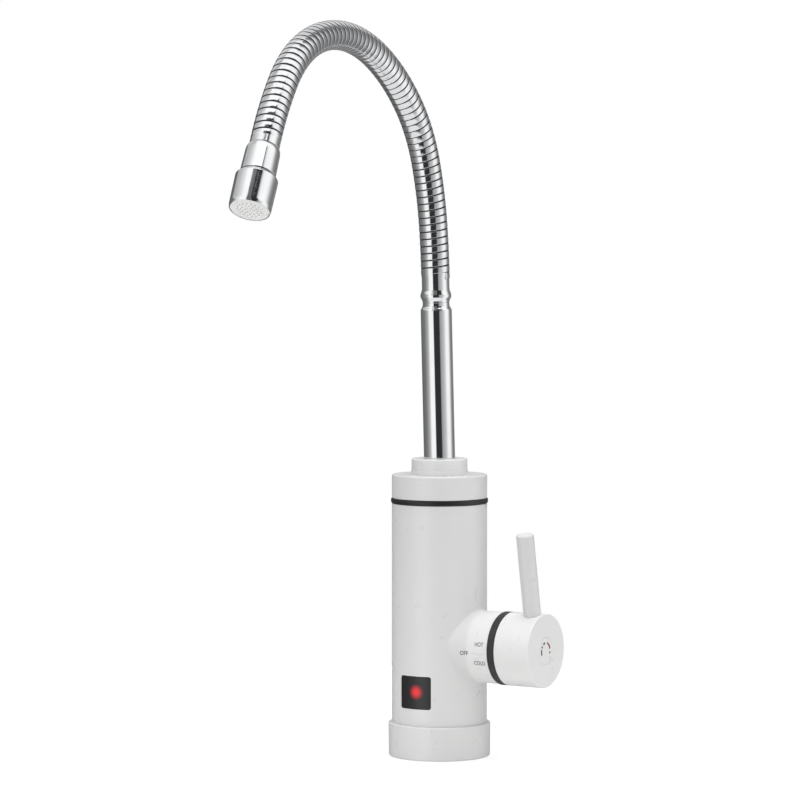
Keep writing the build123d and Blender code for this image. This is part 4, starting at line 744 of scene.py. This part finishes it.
tube = np.concatenate([
    [(tube_radius - tube_wall, tube_foot), (tube_radius, tube_foot), (tube_radius, shoulder_height - 2.2)],
    eased((tube_radius, shoulder_height - 2.0), (groove_radius + 0.1, shoulder_height + 1.4)),
    [(groove_radius - tube_inside, shoulder_height + 1.4), (groove_radius - tube_inside, shoulder_height - 2.0),
     (tube_radius - tube_wall, shoulder_height - 3.5)],
])
make_piece("riser_tube", turned(at_heights(tube), tube_place, 160), chrome_plate, "spout", ["spout_tube"])

ferrule = np.concatenate([
    [(ferrule_bore, ferrule_foot), (groove_radius - ferrule_wall, ferrule_foot),
     (groove_radius - ferrule_wall, shoulder_height + 1.5),
     (groove_radius, shoulder_height + 1.5), (groove_radius, shoulder_height + 3.0),
     (groove_radius - 0.25, shoulder_height + 3.2), (groove_radius + 0.1, shoulder_height + 3.4)],
    eased((groove_radius + 0.1, shoulder_height + 3.45), (bulge_radius, bulge_height)),
    eased((bulge_radius, bulge_height), (neck_radius, neck_foot))[1:],
    [(neck_radius, hose_foot - 0.5), (neck_radius + lap_step, hose_foot),
     (neck_radius + lap_step, hose_foot + neck_lap), (ferrule_bore, hose_foot + neck_lap)],
])
make_piece("hose_ferrule", turned(at_heights(ferrule), tube_place, 160), chrome_plate, "spout",
           ["lower_ferrule"])

# Gooseneck: one strip wound round a curved axis of eight arcs, cut at each hinge
link_lengths = hose_bands * band_pitch
link_starts = np.concatenate([[0], np.cumsum(link_lengths)]).astype(float)
link_turns = np.arccos(np.clip((directions[:-1] * directions[1:]).sum(-1), -1, 1))
link_radii = link_lengths / link_turns
inward = unit(directions[1:] - directions[:-1] * (directions[:-1] * directions[1:]).sum(-1, keepdims=True))
corners = [np.array([0, 0, collar_top]) + tube_ahead * along_tube(hose_foot)]
spokes = [place_at((0, 0, 0), tube_ahead, (1, 0, 0))[1]]
for ahead, centre, radius, turn in zip(directions, inward, link_radii, link_turns):
    corners.append(corners[-1] + radius * (ahead * np.sin(turn) + centre * (1 - np.cos(turn))))
    hinge = np.cross(ahead, centre)
    spoke = spokes[-1]
    swung = spoke * np.cos(turn) + np.cross(hinge, spoke) * np.sin(turn)
    spokes.append(swung + hinge * np.dot(hinge, spoke) * (1 - np.cos(turn)))
corners, spokes = np.array(corners), np.array(spokes)


def on_gooseneck(distance, radius, turn):
    """Points at a distance along the gooseneck's axis, a radius from it and a turn round it, and how much the
    bend stretches or tightens the surface there. Each arc's place and spoke are turned about the arc's own hinge
    line, so the spokes never twist."""
    distance, radius, turn = np.broadcast_arrays(distance, radius, turn)
    link = np.clip(np.searchsorted(link_starts, distance, side="right") - 1, 0, len(link_lengths) - 1)
    bend = ((distance - link_starts[link]) / link_radii[link])[..., None]
    ahead, centre, spoke = directions[link], inward[link], spokes[link]
    axis = corners[link] + link_radii[link][..., None] * (ahead * np.sin(bend) + centre * (1 - np.cos(bend)))
    hinge = np.cross(ahead, centre)
    across = spoke * np.cos(bend) + np.cross(hinge, spoke) * np.sin(bend)
    across = across + hinge * (hinge * spoke).sum(-1, keepdims=True) * (1 - np.cos(bend))
    forward = ahead * np.cos(bend) + centre * np.sin(bend)
    side = np.cross(forward, across)
    spin = turn[..., None]
    out = across * np.cos(spin) + side * np.sin(spin)
    tight = ((out * (centre * np.cos(bend) - ahead * np.sin(bend))).sum(-1)) / link_radii[link]
    return axis + radius[..., None] * out, 1 - radius * tight


# The strip's section: widths from its middle line and radii from the gooseneck's axis, crowned a little in the
# middle and rounded over at its edges
edge_turn = np.linspace(0, np.pi / 2, 6)
flat = strip_width / 2 - edge_width
inner_part = np.linspace(0.8, 0.1, 4)
half_strip = np.concatenate([
    [(strip_width / 2, core_radius - strip_root)],
    np.column_stack([strip_width / 2 - edge_width * (1 - np.cos(edge_turn)),
                     band_radius - strip_crown - edge_depth * (1 - np.sin(edge_turn))]),
    np.column_stack([flat * inner_part, band_radius - strip_crown * inner_part ** 2]),
])
strip_section = np.concatenate([half_strip * [-1, 1], half_strip[::-1]])


def strip_solid(first, last):
    """The strip from one band number to another. It goes round once a pitch, right-handed, and its own width
    stays the same where the bend stretches or tightens the pitch, so its grooves open outside and close inside."""
    bands = np.linspace(first, last, int((last - first) * steps_per_band) + 1)[:, None]
    turn = TURN * bands + strip_start
    width, radius = strip_section.T[:, None, :]
    middle = bands * band_pitch
    stretch = on_gooseneck(middle, radius, turn)[1]
    return loft(on_gooseneck(middle + width / stretch, radius, turn)[0])


def sleeve_solid(start, end, radius, bore, steps, around=64):
    """A tube along the gooseneck's axis: circles outside on the way there and inside on the way back."""
    distance = np.linspace(start, end, steps)
    level = np.concatenate([distance, distance[::-1]])[:, None]
    size = np.repeat([radius, bore], steps)[:, None]
    turn = np.linspace(0, TURN, around, endpoint=False)[None, :]
    return loft(on_gooseneck(level, size, turn)[0], joined=True)


for number, (start, end) in enumerate(zip(link_starts[:-1], link_starts[1:])):
    body = "spout" if number == 0 else f"gooseneck_{number + 1}"
    node = f"hose_link_{number + 1}"
    reach = strip_reach if number == 7 else 0.0
    strip = strip_solid(start / band_pitch, (end + reach) / band_pitch)
    make_piece(f"strip_{number + 1}", strip, chrome_strip, body, [node], 40.0)
    sleeve_start = start + (neck_lap - sleeve_end_gap if number == 0 else sleeve_start_gap)
    sleeve_end = end + (reach - sleeve_end_gap if number == 7 else sleeve_end_reach)
    sleeve = sleeve_solid(sleeve_start, sleeve_end, core_radius, core_bore, 28)
    make_piece(f"sleeve_{number + 1}", sleeve, seal_and_groove_shade, body, [node])
    water_hose = sleeve_solid(start, end, water_radius, water_bore, 20, 40)
    make_piece(f"water_hose_{number + 1}", water_hose, white_acetal, body, ["inner_hose"])

# Outlet end, on the gooseneck's last direction
end_place = place_at(corners[-1], directions[-1], (1, 0, 0))
dome = np.linspace(0, np.pi / 2, 10)
shoulder = np.column_stack([end_dome_foot + (end_dome_radius - end_dome_foot) * np.sin(dome),
                            end_dome - (end_dome - end_neck - seam) * np.cos(dome)])
end_profile = np.concatenate([
    [(end_throat, strip_reach - neck_lap), (end_neck_radius, strip_reach - neck_lap),
     (end_neck_radius, end_neck - 0.1), (end_neck_radius - 0.1, end_neck),
     (end_neck_radius - seam_depth, end_neck), (end_neck_radius - seam_depth, end_neck + seam)],
    shoulder,
    [(end_radius, end_length - 0.15), (end_radius - 0.15, end_length),
     (end_bore, end_length), (end_bore, end_step), (end_throat, end_step)],
])
make_piece("outlet_ferrule", turned(end_profile, end_place, 160), chrome_plate, "gooseneck_8",
           ["end_ferrule"])

housing = rounded([
    (housing_neck, housing_neck_start, 0), (housing_neck, end_length + seam, 0),
    (end_radius, end_length + seam, 0.2), (housing_radius, cone_top, 0.9),
    (housing_end_radius, housing_end - rim_height, rim_bend), (rim_radius, housing_end - bevel, 0.1),
    (spray_bore, housing_end, 0), (spray_bore, cone_top + housing_floor, 0),
    (housing_throat, cone_top + housing_floor, 0), (housing_throat, housing_neck_start, 0),
])
make_piece("outlet_housing", turned(housing, end_place, 160), chrome_plate, "gooseneck_8",
           ["aerator_housing"])

# Floor, which keeps the object's shadow and is white to the camera. Reflections see past it to the studio's cards.
floor_mesh = bpy.data.meshes.new("floor")
turn = np.linspace(0, TURN, 96, endpoint=False)
rim = np.column_stack([floor_radius * np.cos(turn), floor_radius * np.sin(turn), np.full(96, -floor_drop)]) * MM
floor_mesh.from_pydata(rim.tolist(), [], [list(range(96))])
floor_mesh.update()
floor = new_object("floor", floor_mesh)
paper = bpy.data.materials.new("matt_backdrop_paper")
tree = bare_tree(paper)
seen = add(tree, "ShaderNodeLightPath").outputs["Is Camera Ray"]
lit = add(tree, "ShaderNodeBsdfDiffuse", {"Color": tone("#E8E8E7")}).outputs[0]
bright = add(tree, "ShaderNodeEmission", {"Color": WHITE, "Strength": 1.0}).outputs[0]
mixed = add(tree, "ShaderNodeMixShader", {0: maths(tree, "MULTIPLY", seen, 0.72), 1: lit, 2: bright}).outputs[0]
lift = add(tree, "ShaderNodeEmission", {"Color": WHITE, "Strength": maths(tree, "MULTIPLY", seen, 0.06)}).outputs[0]
total = add(tree, "ShaderNodeAddShader", {0: mixed, 1: lift}).outputs[0]
add(tree, "ShaderNodeOutputMaterial", {"Surface": total})
floor_mesh.materials.append(paper)
floor.visible_glossy = False

# Studio: white to the camera, a soft even light for the surfaces, and cards of white, grey and black that the
# polished metal mirrors, placed by heading from the camera
world = bpy.data.worlds.new("studio")
bpy.context.scene.world = world
tree = bare_tree(world)
direction = add(tree, "ShaderNodeTexCoord").outputs["Generated"]
faced = add(tree, "ShaderNodeMapping", {"Vector": direction, "Rotation": (0, 0, -radians(camera_heading))},
            vector_type="VECTOR").outputs[0]
axes = add(tree, "ShaderNodeSeparateXYZ", {"Vector": faced}).outputs
front, height = maths(tree, "MULTIPLY", axes["Y"], -1.0), axes["Z"]
share = between(tree, maths(tree, "ARCTAN2", axes["X"], front), -np.pi, np.pi, 0.0, 1.0)


def cards(levels):
    """A row of cards round the object: a grey level at each heading in degrees, and an even way to the next."""
    ramp = add(tree, "ShaderNodeValToRGB", {"Fac": share})
    elements = ramp.color_ramp.elements
    while len(elements) < len(levels):
        elements.new(0.5)
    for element, (heading, level) in zip(elements, levels.items()):
        element.position, element.color = 0.5 + heading / 360, (level, level, level, 1)
    return ramp.outputs["Color"]


def instead(first, second, value, start, end):
    """The first level where a value is before its start, the second past its end, and a soft change between."""
    change = between(tree, value, start, end, 0.0, 1.0, "SMOOTHSTEP")
    return add(tree, "ShaderNodeMix", {0: change, 2: first, 3: second}, data_type="FLOAT").outputs[0]


def background(strength):
    """White light of this strength from all round."""
    return add(tree, "ShaderNodeBackground", {"Color": WHITE, "Strength": strength}).outputs[0]


def either(factor, first, second):
    """The first light where the factor is 0 and the second where it is 1."""
    return add(tree, "ShaderNodeMixShader", {0: factor, 1: first, 2: second}).outputs[0]


# The lower cards' levels, the upper cards' levels, and the heights where the upper cards end
level_row = cards({
    -180: 0.25, -148: 0.16, -98: 0.26, -68: 0.6, -52: 1.35, -25: 1.35, -20: 0.04, 20: 0.04, 26: 0.45,
    54: 0.76, 72: 1.32, 93: 1.32, 112: 0.5, 120: 0.34, 134: 0.24, 150: 0.3, 180: 0.22})
upper_row = cards({
    -180: 0.95, -145: 0.95, -128: 0.65, -115: 0.65, -85: 1.0, -60: 1.4, -28: 1.4, -21: 0.2, 7: 0.2,
    11: 0.03, 45: 0.04, 51: 0.8, 60: 1.3, 80: 1.42, 96: 1.35, 104: 1.1, 111: 0.8, 117: 0.4, 123: 0.22,
    134: 0.2, 145: 0.7, 153: 0.95, 180: 0.85})
reach_row = cards({
    -180: 0.93, -110: 0.9, -60: 0.86, 2: 0.86, 10: 0.85, 18: 0.83, 26: 0.8, 42: 0.77, 56: 0.84,
    96: 0.88, 108: 0.93, 180: 0.93})
sides = instead(level_row, upper_row, height, 0.28, 0.42)
above = maths(tree, "SUBTRACT", height, reach_row)
with_top = instead(sides, maths(tree, "MULTIPLY_ADD", front, 0.3, 1.4), above, -0.01, 0.01)
floor_reach = maths(tree, "MULTIPLY_ADD", front, -0.17, height)
mirrored = instead(with_top, maths(tree, "MULTIPLY_ADD", front, 0.15, 1.08), floor_reach, -0.66, -0.8)

# The soft light: an even part, more of it from overhead, and a little more from the front and the right
side_light = add(tree, "ShaderNodeVectorMath", {0: faced, 1: (0.04, -0.33, 0)}, operation="DOT_PRODUCT")
top_light = maths(tree, "POWER", maths(tree, "MAXIMUM", height, 0.0), 4.0)
top_and_even = maths(tree, "MULTIPLY_ADD", top_light, 2.9, 0.5)
all_light = maths(tree, "ADD", top_and_even, side_light.outputs["Value"])
ray = add(tree, "ShaderNodeLightPath").outputs
lighting = either(ray["Is Glossy Ray"], background(all_light), background(mirrored))
view_white = maths(tree, "MAXIMUM", ray["Is Camera Ray"], ray["Is Transmission Ray"])
add(tree, "ShaderNodeOutputWorld", {"Surface": either(view_white, lighting, background(1.0))})

# Camera
camera_data = bpy.data.cameras.new("camera")
camera_data.sensor_width = sensor
camera_data.lens = focal_pixels * sensor / frame_pixels
camera_data.clip_end = 20
camera = new_object("camera", camera_data)
camera.location = (towards(camera_heading) * camera_distance + camera_height * UP) * MM
camera.rotation_euler = (radians(90 - aim_drop), 0, radians(aim_heading))
bpy.context.scene.camera = camera
bpy.context.scene.view_settings.view_transform = "Standard"
